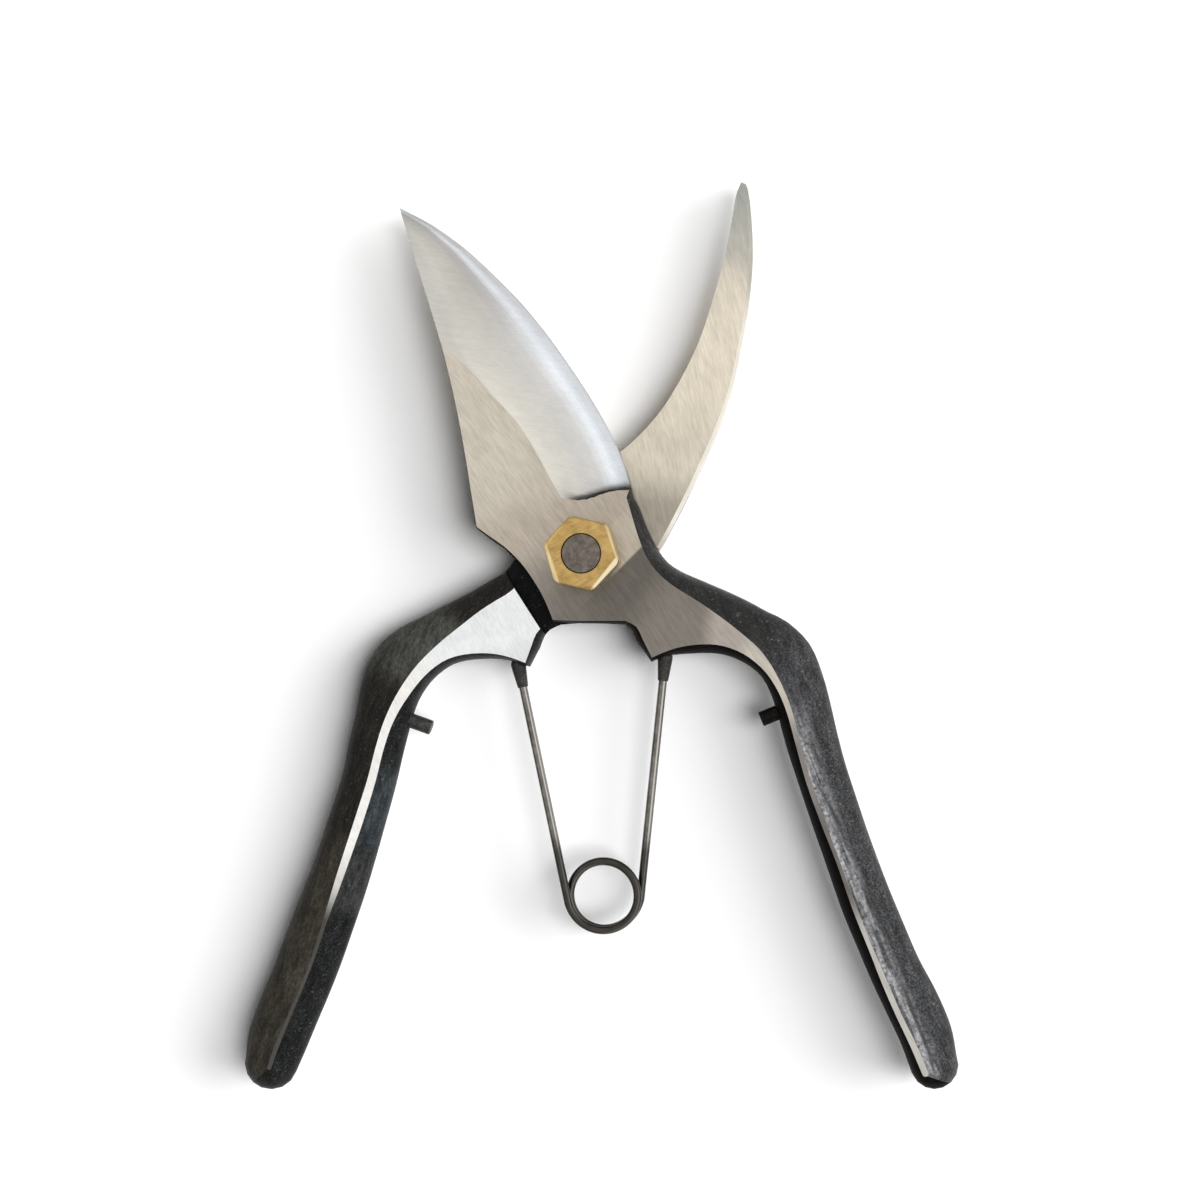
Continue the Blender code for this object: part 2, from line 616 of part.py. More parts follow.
hook_runs = [HOOK_EDGE, HOOK_OUTSIDE, None, HOOK_INSIDE, HOOK_TAB, HOOK_FOOT, HOOK_WAIST]
hook_half = add_object("hook_half", forging("hook_half", flat_and_swell(hook_runs)), hook_steel)
left_seat = ball_cutter("left seat", DOME_RADIUS + PLAY, (*LEFT_SEAT, MIDDLE))
left_hole = peg_hole("left peg hole", *LEFT_PEG[:2])
finish_half(hook_half, JOINT_LOWER, NUT_TOP, hook_region, [taper_cutter(), bore, left_seat, left_hole])

# Bolt and nut
bolt = turned(
    "pivot_bolt",
    [
        (0, 0), (HEAD_RADIUS - 0.6, 0), (HEAD_RADIUS, 0.5), (HEAD_RADIUS, HEAD_TOP - 0.6),
        (HEAD_RADIUS - 0.6, HEAD_TOP), (BOLT_RADIUS, HEAD_TOP), (BOLT_RADIUS, FACE_TOP - 0.3),
        (THREAD_RADIUS, FACE_TOP), (THREAD_RADIUS, NUT_TOP - 0.3), (THREAD_RADIUS - 0.3, NUT_TOP),
        (0, NUT_TOP),
    ],
    bolt_steel,
    48,
)
smoothed(bolt)


def hexagon(work):
    across = NUT_FLATS / math.sqrt(3)
    bmesh.ops.create_cone(
        work, cap_ends=True, segments=6, radius1=across * MM, radius2=across * MM,
        depth=(NUT_TOP - NUT_UNDER) * MM,
    )
    bmesh.ops.rotate(work, verts=work.verts, cent=(0, 0, 0), matrix=Matrix.Rotation(NUT_TURN, 3, "Z"))
    bmesh.ops.translate(work, verts=work.verts, vec=(0, 0, (NUT_TOP + NUT_UNDER) / 2 * MM))


nut = add_object("pivot_nut", mesh_of("pivot_nut", hexagon), brass)
corner_height = 0.75
rim = NUT_FLATS / 2
nut_round = turned(
    "nut rounding",
    [
        (0, NUT_UNDER - 0.01), (rim, NUT_UNDER - 0.01), (rim + 1.2, NUT_UNDER + corner_height),
        (rim + 1.2, NUT_TOP - corner_height), (rim, NUT_TOP + 0.01), (0, NUT_TOP + 0.01),
    ],
    None,
    48,
)
thread = cylinder_cutter("nut bore", THREAD_RADIUS + PLAY, (0, 0, NUT_UNDER - 2), (0, 0, NUT_TOP + 2))
boolean(nut, nut_round, "INTERSECT")
boolean(nut, thread)
applied(nut)
smoothed(nut, 25)

# Pegs
peg("handle_peg_left", *LEFT_PEG, peg_left_steel)
peg("handle_peg_right", *RIGHT_PEG, peg_right_steel)
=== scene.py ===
import math

import bmesh
import bpy
from mathutils import Matrix, Vector


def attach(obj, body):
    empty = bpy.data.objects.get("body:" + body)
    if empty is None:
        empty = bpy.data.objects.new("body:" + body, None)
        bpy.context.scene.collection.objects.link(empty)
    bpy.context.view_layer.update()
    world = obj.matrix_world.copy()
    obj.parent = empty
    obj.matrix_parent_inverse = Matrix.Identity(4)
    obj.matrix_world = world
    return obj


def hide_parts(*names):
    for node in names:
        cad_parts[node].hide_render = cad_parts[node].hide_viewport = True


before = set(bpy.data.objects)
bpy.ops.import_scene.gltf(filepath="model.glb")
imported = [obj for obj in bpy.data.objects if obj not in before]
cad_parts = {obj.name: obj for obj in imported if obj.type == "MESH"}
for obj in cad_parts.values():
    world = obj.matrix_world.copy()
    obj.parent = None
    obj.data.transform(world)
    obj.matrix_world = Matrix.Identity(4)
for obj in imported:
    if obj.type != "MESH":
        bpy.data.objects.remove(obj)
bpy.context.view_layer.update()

mm = 0.001


def newMaterial(name, colour, metallic, roughness, specular=0.5):
    made = bpy.data.materials.new(name)
    made.use_nodes = True
    tree = made.node_tree
    shader = tree.nodes["Principled BSDF"]
    shader.inputs["Base Color"].default_value = (*colour, 1)
    shader.inputs["Metallic"].default_value = metallic
    shader.inputs["Roughness"].default_value = roughness
    shader.inputs["Specular IOR Level"].default_value = specular
    made.diffuse_color = (*colour, 1)
    return made, tree, shader


def addNode(tree, kind, inputs=(), **settings):
    made = tree.nodes.new(kind)
    for key, value in settings.items():
        setattr(made, key, value)
    for key, value in dict(inputs).items():
        if isinstance(value, bpy.types.NodeSocket):
            tree.links.new(value, made.inputs[key])
        else:
            made.inputs[key].default_value = value
    return made


def grain(tree, turn, length, width, detail=3.0, roughness=0.6, seed=0.0):
    # noise drawn out along one direction of the XY plane; turn in degrees from +X, sizes in mm
    coords = addNode(tree, "ShaderNodeTexCoord").outputs["Object"]
    turned = addNode(
        tree, "ShaderNodeMapping",
        {"Vector": coords, "Location": (seed * mm, -seed * mm, seed * mm),
         "Rotation": (0, 0, math.radians(turn)), "Scale": (length * mm, width * mm, width * mm)},
        vector_type="TEXTURE",
    ).outputs["Vector"]
    return addNode(
        tree, "ShaderNodeTexNoise",
        {"Vector": turned, "Scale": 1.0, "Detail": detail, "Roughness": roughness},
    ).outputs["Fac"]


def blotches(tree, size, detail=2.0, seed=0.0):
    return grain(tree, 0, size, size, detail, 0.55, seed)


def spread(tree, value, low, high, toLow=0.0, toHigh=1.0, smooth=False):
    return addNode(
        tree, "ShaderNodeMapRange",
        {"Value": value, "From Min": low, "From Max": high, "To Min": toLow, "To Max": toHigh},
        interpolation_type="SMOOTHSTEP" if smooth else "LINEAR",
    ).outputs["Result"]


def sums(tree, operation, a, b):
    return addNode(tree, "ShaderNodeMath", {0: a, 1: b}, operation=operation).outputs[0]


def mixed(tree, amount, first, second, blend="MIX"):
    made = tree.nodes.new("ShaderNodeMix")
    made.data_type = "RGBA"
    made.blend_type = blend
    for index, value in ((0, amount), (6, first), (7, second)):
        if isinstance(value, bpy.types.NodeSocket):
            tree.links.new(value, made.inputs[index])
        elif index == 0:
            made.inputs[0].default_value = value
        else:
            made.inputs[index].default_value = (*value, 1)
    return made.outputs[2]


def parts(tree, coordinates):
    # the X, Y and Z of one of the Texture Coordinate node's outputs
    coords = addNode(tree, "ShaderNodeTexCoord").outputs[coordinates]
    return addNode(tree, "ShaderNodeSeparateXYZ", {"Vector": coords}).outputs


def across(tree, start, end):
    # 0 before the point start, 1 beyond the point end, smooth between; both are (x, y) in mm
    start, end = Vector(start), Vector(end)
    along = end - start
    coords = addNode(tree, "ShaderNodeTexCoord").outputs["Object"]
    reach = addNode(
        tree, "ShaderNodeVectorMath",
        {0: coords, 1: (along.x / along.length_squared / mm, along.y / along.length_squared / mm, 0)},
        operation="DOT_PRODUCT",
    ).outputs["Value"]
    offset = start.dot(along) / along.length_squared
    return spread(tree, reach, offset, offset + 1, smooth=True)


def bumped(tree, shader, *layers):
    # each layer: height, strength, depth in mm
    normal = None
    for height, strength, depth in layers:
        inputs = {"Height": height, "Strength": strength, "Distance": depth * mm}
        if normal is not None:
            inputs["Normal"] = normal
        normal = addNode(tree, "ShaderNodeBump", inputs).outputs["Normal"]
    tree.links.new(normal, shader.inputs["Normal"])


def ramp(tree, value, stops):
    # stops: (position, colour) pairs, blended smoothly
    made = addNode(tree, "ShaderNodeValToRGB", {"Fac": value})
    band = made.color_ramp
    band.interpolation = "EASE"
    while len(band.elements) < len(stops):
        band.elements.new(1)
    for element, (position, colour) in zip(band.elements, stops):
        element.position = position
        element.color = (*colour, 1)
    return made.outputs["Color"]


def attribute(tree, name):
    return addNode(tree, "ShaderNodeAttribute", attribute_name=name).outputs["Fac"]


def zoned(tree, colour, zones):
    # each zone lays its tone over the colour, beyond every one of its borders
    for zone in zones:
        mask = zone.get("amount", 1.0)
        for start, end in zone["borders"]:
            mask = sums(tree, "MULTIPLY", across(tree, start, end), mask)
        colour = mixed(tree, mask, colour, zone["tone"])
    return colour


def scaledColour(tree, colour, factor):
    grey = addNode(tree, "ShaderNodeCombineColor", {"Red": factor, "Green": factor, "Blue": factor})
    return mixed(tree, 1.0, colour, grey.outputs["Color"], "MULTIPLY")


# what the marks of all ground faces share; the coarse streaks are set from a face's own fine ones
grinding = {
    "fineShare": 0.65, "coarseShare": 0.35, "coarseTurn": 2, "coarseLength": 2.2, "coarseWidth": 3.5,
    "streakRange": (0.36, 0.64), "streakDepth": 0.02, "lighter": 0.7,
    "cloudSize": 6, "cloudRange": (0.3, 0.7), "cloudBump": 0.1, "cloudDepth": 0.03,
}


def brushed(tree, shader, colour, look):
    # grinding marks: fine and coarse streaks along one direction, with cloudy patches between them
    fine = grain(tree, look["turn"], look["length"], look["width"], 4, 0.6)
    coarse = grain(
        tree, look["turn"] + grinding["coarseTurn"], look["length"] * grinding["coarseLength"],
        look["width"] * grinding["coarseWidth"], 3, 0.5, 7,
    )
    cloud = blotches(tree, grinding["cloudSize"], 3, 3)
    streak = sums(
        tree, "ADD", sums(tree, "MULTIPLY", fine, grinding["fineShare"]),
        sums(tree, "MULTIPLY", coarse, grinding["coarseShare"]),
    )
    streak = spread(tree, streak, *grinding["streakRange"])
    darkest, lightest = 1 - look["contrast"], 1 + look["contrast"] * grinding["lighter"]
    factor = sums(
        tree, "MULTIPLY", spread(tree, streak, 0, 1, darkest, lightest),
        spread(tree, cloud, *grinding["cloudRange"], 1 - look["cloud"], 1 + look["cloud"]),
    )
    tree.links.new(scaledColour(tree, colour, factor), shader.inputs["Base Color"])
    low, high = look["roughness"]
    tree.links.new(spread(tree, streak, 0, 1, high, low), shader.inputs["Roughness"])
    bumped(
        tree, shader, (fine, look["bump"], grinding["streakDepth"]),
        (cloud, grinding["cloudBump"], grinding["cloudDepth"]),
    )


def groundSteel(name, look):
    made, tree, shader = newMaterial(name, look["tone"], look.get("metallic", 1.0), look["roughness"][1])
    base = tree.nodes.new("ShaderNodeRGB")
    base.outputs[0].default_value = (*look["tone"], 1)
    brushed(tree, shader, zoned(tree, base.outputs[0], look["zones"]), look)
    return made


def bevelSteel(name, look):
    # tones across the bevel, from the cutting edge to its border, near the heel and near the tip; its pale
    # bands are painted highlights, and it darkens near the heel as painted shade
    made, tree, shader = newMaterial(name, look["root"][0][1], 1.0, look["roughness"][1])
    share, run, heel = (attribute(tree, key) for key in ("edgeShare", "edgeRun", "heelNear"))
    colour = mixed(
        tree, spread(tree, run, *look["runBlend"], smooth=True),
        ramp(tree, share, look["root"]), ramp(tree, share, look["tip"]),
    )
    nearTip = spread(tree, run, look["tipFrom"], 1.0, 1, look["tipDim"], smooth=True)
    # painted shade: darker towards the heel's corner
    nearHeel = spread(tree, heel, 0, look["heelReach"], look["heelDim"], 1, smooth=True)
    colour = scaledColour(tree, colour, sums(tree, "MULTIPLY", nearTip, nearHeel))
    # a dark patch is painted into the heel's corner as shade
    heelShade = sums(tree, "MULTIPLY", across(tree, *look["heelShadeBegins"]), look["heelShadeAmount"])
    heelShade = sums(tree, "MULTIPLY", spread(tree, heel, *look["heelShade"], 1, 0, smooth=True), heelShade)
    colour = mixed(tree, heelShade, colour, look["heelShadeTone"])
    brushed(tree, shader, colour, look)
    return made


# the scale's marks: coarse and fine ones are (length, width) in mm, the others are counted in grains
scale = {
    "coarse": (4.5, 1.5), "coarseTones": (0.5, 1.5), "fine": (0.8, 0.4), "fineTones": (0.65, 1.35),
    "markRange": (0.36, 0.64), "drawn": (14, 1.2), "speck": 1.5, "fleck": 2,
    "gritRange": (0.38, 0.64), "waveRange": (0.4, 0.62), "smoother": 0.08, "rougher": 0.1,
    "waveBump": 0.5, "gritBump": 0.6,
}


def forgedSteel(name, look):
    # black forging scale: hammered waves, a fine grain and pale specks, partly bare metal where the scale
    # is scuffed and partly painted glints
    made, tree, shader = newMaterial(name, look["dark"], 0, look["roughness"], look["specular"])
    waves = blotches(tree, look["waveSize"], 3, 1)
    grit = blotches(tree, look["gritSize"], 4, 5)
    if "turn" in look:
        length, width = scale["drawn"]
        drawn = grain(
            tree, look["turn"], look["gritSize"] * length, look["gritSize"] * width, 3, 0.6, 11,
        )
        grit = sums(tree, "ADD", sums(tree, "MULTIPLY", grit, 0.5), sums(tree, "MULTIPLY", drawn, 0.5))
    low, high = look["speckRange"]
    specks = spread(tree, blotches(tree, look["gritSize"] * scale["speck"], 3, 9), low, high)
    patches = spread(tree, waves, *scale["waveRange"])
    colour = mixed(tree, spread(tree, grit, *scale["gritRange"]), look["dark"], look["light"])
    colour = zoned(tree, colour, look.get("zones", ()))
    along = look.get("along", 0)
    coarse = grain(tree, along, *scale["coarse"], 5, 0.65, 21)
    coarse = spread(tree, coarse, *scale["markRange"], *scale["coarseTones"])
    fine = grain(tree, along, *scale["fine"], 4, 0.6, 27)
    fine = spread(tree, fine, *scale["markRange"], *scale["fineTones"])
    colour = scaledColour(tree, colour, sums(tree, "MULTIPLY", coarse, fine))
    if "crestHighlight" in look:
        # a painted highlight along the flank just outside the flat's edge, broken up by flecks and streaks
        crestHighlight = look["crestHighlight"]
        height = parts(tree, "Object")["Z"]
        low, high = crestHighlight["heights"]
        wearAndHighlight = spread(tree, height, low * mm, high * mm, smooth=True)
        wearAndHighlight = sums(tree, "MULTIPLY", wearAndHighlight, across(tree, *crestHighlight["begins"]))
        flecks = blotches(tree, look["gritSize"] * scale["fleck"], 5, 13)
        streaks = grain(tree, crestHighlight["turn"], *crestHighlight["streak"], 3, 0.6, 17)
        flecks = sums(
            tree, "MULTIPLY", spread(tree, flecks, *crestHighlight["fleckRange"], crestHighlight["fleckLeast"], 1),
            spread(tree, streaks, *crestHighlight["streakRange"], crestHighlight["streakLeast"], 1),
        )
        colour = mixed(tree, sums(tree, "MULTIPLY", wearAndHighlight, flecks), colour, crestHighlight["tone"])
    # pale specks: scuffed scale and painted glints
    rubbedAndHighlight = sums(tree, "MULTIPLY", sums(tree, "MULTIPLY", specks, patches), look["specks"])
    colour = mixed(tree, rubbedAndHighlight, colour, look["rubbedAndHighlight"])
    tree.links.new(colour, shader.inputs["Base Color"])
    smoothest, roughest = look["roughness"] - scale["smoother"], look["roughness"] + scale["rougher"]
    tree.links.new(spread(tree, grit, 0.3, 0.7, smoothest, roughest), shader.inputs["Roughness"])
    bumped(
        tree, shader, (waves, scale["waveBump"], look["waveDepth"]),
        (grit, scale["gritBump"], look["gritDepth"]),
    )
    return made


def mergedCopy(nodeName):
    # the CAD node's loose triangles, joined and with its flat areas made whole
    work = bmesh.new()
    work.from_mesh(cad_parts[nodeName].data)
    bmesh.ops.remove_doubles(work, verts=work.verts, dist=0.002 * mm)
    bmesh.ops.dissolve_limit(
        work, angle_limit=math.radians(0.3), verts=work.verts, edges=work.edges,
        use_dissolve_boundaries=False,
    )
    return work


def softenEdges(work, edges, width, segments):
    # rounds the edges and gives back the faces that this makes
    if not edges:
        return set()
    made = bmesh.ops.bevel(
        work, geom=edges, offset=width * mm, offset_type="OFFSET", affect="EDGES", segments=segments,
        profile=0.5, material=-1, clamp_overlap=True,
    )
    return set(made["faces"])


def isSharp(edge, degrees=25):
    return len(edge.link_faces) == 2 and edge.calc_face_angle(0) > math.radians(degrees)


def isFlat(face, height=None):
    level = abs(face.normal.z) > 0.9995
    return level if height is None else level and abs(face.calc_center_median().z / mm - height) < 0.05


def finished(work, name, materials, body, replaced, sharp=32):
    # writes the mesh, shades it smooth between sharp edges and places the piece on its body
    work.normal_update()
    for face in work.faces:
        face.smooth = True
    for edge in work.edges:
        flats = sum(isFlat(face) for face in edge.link_faces)
        edge.smooth = not (isSharp(edge, sharp) or (flats == 1 and isSharp(edge, 4)))
    mesh = bpy.data.meshes.new(name)
    work.to_mesh(mesh)
    work.free()
    made = bpy.data.objects.new(name, mesh)
    bpy.context.scene.collection.objects.link(made)
    for material in materials:
        made.data.materials.append(material)
    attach(made, body)
    if replaced:
        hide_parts(replaced)
    return made


def turnedShape(profile, steps):
    # spins (radius, height) points in mm about Z into a closed shape
    work = bmesh.new()
    verts = [work.verts.new((radius * mm, 0, height * mm)) for radius, height in profile]
    edges = [work.edges.new(pair) for pair in zip(verts, verts[1:])]
    bmesh.ops.spin(
        work, geom=verts + edges, cent=(0, 0, 0), axis=(0, 0, 1), angle=2 * math.pi, steps=steps,
        use_merge=True,
    )
    bmesh.ops.remove_doubles(work, verts=work.verts, dist=0.001 * mm)
    bmesh.ops.recalc_face_normals(work, faces=work.faces)
    return work


def aimed(work, place, direction):
    # turns a shape's Z axis to a direction and moves its origin to a place in mm
    turn = Vector(direction).to_track_quat("Z", "Y").to_matrix().to_4x4()
    bmesh.ops.transform(work, matrix=Matrix.Translation(Vector(place) * mm) @ turn, verts=work.verts)


# lengths in mm, directions in degrees from +X, tones as linear colours; a zone lies beyond its borders
cuttingFlat = {
    "tone": (0.62, 0.565, 0.475), "turn": -54, "length": 2.6, "width": 0.26, "roughness": (0.30, 0.42),
    "bump": 0.2, "contrast": 0.13, "cloud": 0.06,
    "zones": [
        {"borders": [((-12, 20), (-3, 6))], "tone": (0.50, 0.44, 0.36)},
        {"borders": [((-17, 10), (-14, 2))], "tone": (0.48, 0.42, 0.35)},
        {"borders": [((-2, 11), (5, 7.5))], "tone": (0.46, 0.40, 0.33)},
        {"borders": [((-12, 3), (-6, -5)), ((4, 4), (3, -4))], "tone": (0.29, 0.258, 0.22)},
        {"borders": [((-10, -5), (-2, -9)), ((4, 4), (3, -4))], "tone": (0.195, 0.172, 0.148)},
        # painted light: a lighter band on the flat right of the nut, thrown from the nut's side
        {"borders": [((5.4, 6.1), (5.8, 5.7)), ((3, -3), (6, 0))], "tone": (0.50, 0.44, 0.36)},
        {"borders": [((6.1, -3.2), (6.5, -3.6)), ((-2, -12), (4, -9.5))], "tone": (0.150, 0.135, 0.116)},
        {"borders": [((9, -6), (17, -11))], "tone": (0.235, 0.210, 0.182)},
        {"borders": [((22, -14), (26, -14.5))], "tone": (0.43, 0.385, 0.34)},
        {"borders": [((29, -16.5), (32, -19.5))], "tone": (0.57, 0.52, 0.45)},
        {"borders": [((38.5, -27), (41, -37))], "tone": (0.25, 0.232, 0.213)},
        {"borders": [((43, -44), (45.5, -52))], "tone": (0.18, 0.168, 0.155)},
        {"borders": [((50, -64), (54, -74))], "tone": (0.55, 0.53, 0.49)},
    ],
}
groundBevel = {
    "turn": -12, "length": 5, "width": 0.22, "roughness": (0.24, 0.34), "bump": 0.12, "contrast": 0.05,
    "cloud": 0.03,
    # ramps across the bevel, from edge to border; their pale bands are painted highlights
    "root": [
        (0.0, (0.50, 0.51, 0.52)), (0.02, (0.70, 0.72, 0.74)), (0.05, (0.73, 0.75, 0.77)),
        (0.09, (0.72, 0.75, 0.78)), (0.13, (0.78, 0.82, 0.86)), (0.18, (0.88, 0.92, 0.96)),
        (0.22, (0.86, 0.89, 0.92)), (0.29, (0.76, 0.77, 0.77)), (0.37, (0.67, 0.66, 0.64)),
        (0.52, (0.65, 0.63, 0.60)), (0.75, (0.69, 0.67, 0.61)), (0.95, (0.78, 0.74, 0.66)),
        (1.0, (0.70, 0.64, 0.56)),
    ],
    "tip": [
        (0.0, (0.46, 0.46, 0.46)), (0.02, (0.68, 0.68, 0.69)), (0.06, (0.61, 0.62, 0.64)),
        (0.10, (0.70, 0.72, 0.74)), (0.14, (0.77, 0.79, 0.82)), (0.18, (0.66, 0.66, 0.67)),
        (0.22, (0.50, 0.49, 0.48)), (0.30, (0.49, 0.47, 0.45)), (0.42, (0.54, 0.52, 0.48)),
        (0.60, (0.58, 0.56, 0.50)), (0.78, (0.61, 0.595, 0.54)), (0.94, (0.60, 0.585, 0.54)),
        (1.0, (0.59, 0.575, 0.53)),
    ],
    "runBlend": (0.42, 0.78), "tipFrom": 0.84, "tipDim": 0.88, "heelReach": 5.0, "heelDim": 0.80,
    # painted shade in the heel's corner: where it lies, how strong and how dark
    "heelShade": (0.45, 2.1), "heelShadeBegins": ((-4.6, 10.3), (-0.4, 10.6)), "heelShadeAmount": 0.95,
    "heelShadeTone": (0.055, 0.050, 0.045),
}
hookFlat = {
    "tone": (0.78, 0.70, 0.575), "turn": -77, "length": 2.6, "width": 0.30, "roughness": (0.30, 0.44),
    "bump": 0.25, "contrast": 0.12, "cloud": 0.07,
    "zones": [
        {"borders": [((22, 34), (17, 22))], "tone": (0.68, 0.615, 0.505)},
        {"borders": [((16, 19), (13, 8))], "tone": (0.38, 0.34, 0.28)},
        {"borders": [((28.5, 49), (30.3, 61))], "tone": (0.49, 0.47, 0.415)},
        {"borders": [((30, 60), (30.5, 71))], "tone": (0.40, 0.405, 0.37)},
    ],
}
# the chamfer is painted pale, with little metal in it, as the outer edge's highlight
hookSideBevel = {
    "tone": (0.80, 0.775, 0.715), "turn": 80, "length": 4, "width": 0.3, "roughness": (0.25, 0.35),
    "bump": 0.1, "contrast": 0.06, "cloud": 0.05, "metallic": 0.25,
    "zones": [
        {"borders": [((16.5, 4.5), (15, 1.5))], "tone": (0.45, 0.42, 0.38)},
        {"borders": [((30, 42), (32, 54))], "tone": (0.42, 0.42, 0.39)},
    ],
}
# a flat band beside the chamfer, painted pale as the same highlight
hookHighlightBand = {
    "tone": (0.90, 0.845, 0.76), "turn": 75, "length": 3, "width": 0.3, "roughness": (0.28, 0.38),
    "bump": 0.1, "contrast": 0.06, "cloud": 0.05,
    "zones": [
        {"borders": [((17.5, 7), (15, 1.5))], "tone": (0.62, 0.58, 0.51)},
        {"borders": [((29.5, 42), (31, 55))], "tone": (0.54, 0.52, 0.455)},
        {"borders": [((30, 60), (30.5, 71))], "tone": (0.40, 0.405, 0.37)},
    ],
}
tabFlat = {
    "tone": (0.85, 0.86, 0.86), "turn": -66, "length": 1.6, "width": 0.35, "roughness": (0.30, 0.40),
    "bump": 0.2, "contrast": 0.09, "cloud": 0.05,
    "zones": [
        {"borders": [((-12, -14), (-10, -20))], "tone": (0.76, 0.77, 0.77)},
        {"borders": [((-27, -19), (-33, -25))], "tone": (0.93, 0.91, 0.87)},
        {"borders": [((-46, -56), (-48.5, -63))], "tone": (0.70, 0.68, 0.64)},
        {"borders": [((-48.7, -62.5), (-51.5, -71))], "tone": (0.085, 0.082, 0.074)},
    ],
}
outerLeft = {
    "dark": (0.006, 0.005, 0.004), "light": (0.028, 0.024, 0.020), "rubbedAndHighlight": (0.16, 0.15, 0.13),
    "roughness": 0.5, "specular": 0.14, "waveSize": 2.2, "waveDepth": 0.10, "gritSize": 0.32,
    "gritDepth": 0.04, "speckRange": (0.58, 0.72), "specks": 0.45, "turn": 72, "along": 72,
    "zones": [
        {"borders": [((-35, -28), (-33, -20)), ((-24, -9), (-29, -14))],
         "tone": (0.080, 0.081, 0.071), "amount": 0.8},
        {"borders": [((-43, -50), (-48, -62))], "tone": (0.056, 0.050, 0.038), "amount": 0.75},
    ],
}
innerLeft = {
    "dark": (0.003, 0.003, 0.003), "light": (0.016, 0.0165, 0.017), "rubbedAndHighlight": (0.16, 0.18, 0.19),
    "roughness": 0.45, "specular": 0.10, "waveSize": 1.6, "waveDepth": 0.12, "gritSize": 0.3,
    "gritDepth": 0.05, "speckRange": (0.58, 0.72), "specks": 0.45, "along": 72,
    "zones": [
        # painted bluish reflections on the inner wall's lower part
        {"borders": [((-38, -40), (-38.5, -44)), ((-42, -60), (-41.5, -54))],
         "tone": (0.036, 0.045, 0.049), "amount": 0.55},
        {"borders": [((-43, -56), (-44, -60)), ((-47, -72), (-46, -66))],
         "tone": (0.036, 0.037, 0.036), "amount": 0.6},
        # near black towards the step beside the cutting half: scale and painted shade
        {"borders": [((-17, -16), (-13, -13))], "tone": (0.004, 0.004, 0.004), "amount": 0.9},
    ],
}
outerRight = {
    "dark": (0.009, 0.009, 0.0095), "light": (0.050, 0.051, 0.053), "rubbedAndHighlight": (0.30, 0.30, 0.31),
    "roughness": 0.42, "specular": 0.26, "waveSize": 1.9, "waveDepth": 0.14, "gritSize": 0.34,
    "gritDepth": 0.07, "speckRange": (0.58, 0.74), "specks": 0.4, "along": -68,
    "zones": [{"borders": [((42, -21), (34, -13))], "tone": (0.010, 0.010, 0.009), "amount": 0.85}],
    # painted highlight along the flank beside the flat
    "crestHighlight": {
        "heights": (10.6, 11.5), "tone": (0.40, 0.40, 0.41), "begins": ((37, -22), (43, -40)),
        "turn": -68, "streak": (11, 0.9), "streakRange": (0.38, 0.60), "streakLeast": 0.12,
        "fleckRange": (0.3, 0.62), "fleckLeast": 0.1,
    },
}
# near black: the inner walls' scale with painted shade, darker than the outer side's
innerRight = {
    "dark": (0.0015, 0.001, 0.001), "light": (0.008, 0.006, 0.005), "rubbedAndHighlight": (0.06, 0.055, 0.05),
    "roughness": 0.55, "specular": 0.04, "waveSize": 1.6, "waveDepth": 0.08, "gritSize": 0.3,
    "gritDepth": 0.04, "speckRange": (0.6, 0.75), "specks": 0.3,
}
halfForm = {
    "arris": 0.24, "hookChamfer": 0.7, "hookHighlightBand": 0.65, "top": 11.6, "jointLower": 7.1,
    # the hook half's tang lies left of splitAt; the blade is ground above bladeFrom, its back from y 0
    "splitAt": -1.5, "bladeFrom": 12, "bladeFoot": 12, "bladeTop": 7.3, "underside": 4,
    # corners of at least chamferAngle on the blade's outer side get the chamfer, above chamferFrom
    "chamferAngle": 50, "chamferFrom": 2, "bareLeftOf": -20,
    # which faces of the cutting half are ground, and where its heel is smoothed
    "groundAbove": 7.52, "groundUp": 0.45, "groundSide": 0.6, "heelUp": 0.3, "groundCuts": 2,
    "heelLow": 9.3, "heelHigh": 14, "heelRight": 8.6,
    "smoothReach": 1.9, "smoothHigh": 14.5, "smoothings": 5,
}
cuttingEdge = [
    (9.0, 12.8), (8.2, 15.6), (5.9, 21.7), (2.9, 27.4), (-0.5, 33.0), (-4.0, 38.2), (-7.9, 43.6),
    (-12.4, 49.1), (-17.9, 54.8), (-24.1, 60.5), (-30.5, 65.1), (-36.6, 68.3),
]
bevelWidths = [14.0, 14.2, 14.6, 14.7, 14.8, 15.6, 16.0, 15.8, 13.7, 9.3, 4.9, 2.6]
heelLine = [(-4.4, 11.0), (-2.6, 9.95), (-0.4, 10.0), (1.8, 10.8), (4.0, 11.7), (6.2, 12.25), (9.0, 12.5)]


def nearest(point, line):
    # distance from a line, and where along it the nearest point lies, counted in marks
    best, where = 1e9, 0
    for index, (a, b) in enumerate(zip(line, line[1:])):
        a, b = Vector(a), Vector(b)
        share = max(0, min(1, (point - a).dot(b - a) / (b - a).length_squared))
        distance = (point - a.lerp(b, share)).length
        if distance < best:
            best, where = distance, index + share
    return best, where


def topArrises(work):
    # the edges between the upper flat and the sides
    return [
        edge for edge in work.edges
        if isSharp(edge) and any(isFlat(face, halfForm["top"]) for face in edge.link_faces)
    ]


def facesOuter(face, outward):
    return face.normal.xy.dot(Vector(outward)) > 0


def isGround(face):
    # the slope of the ground bevel and the heel behind it
    centre = face.calc_center_median() / mm
    if isFlat(face) or centre.y < halfForm["heelLow"] or centre.z < halfForm["groundAbove"]:
        return False
    inHeel = centre.y < halfForm["heelHigh"] and centre.x < halfForm["heelRight"]
    heel = face.normal.y > halfForm["heelUp"] and inHeel
    return face.normal.z > halfForm["groundUp"] and face.normal.x < halfForm["groundSide"] or heel


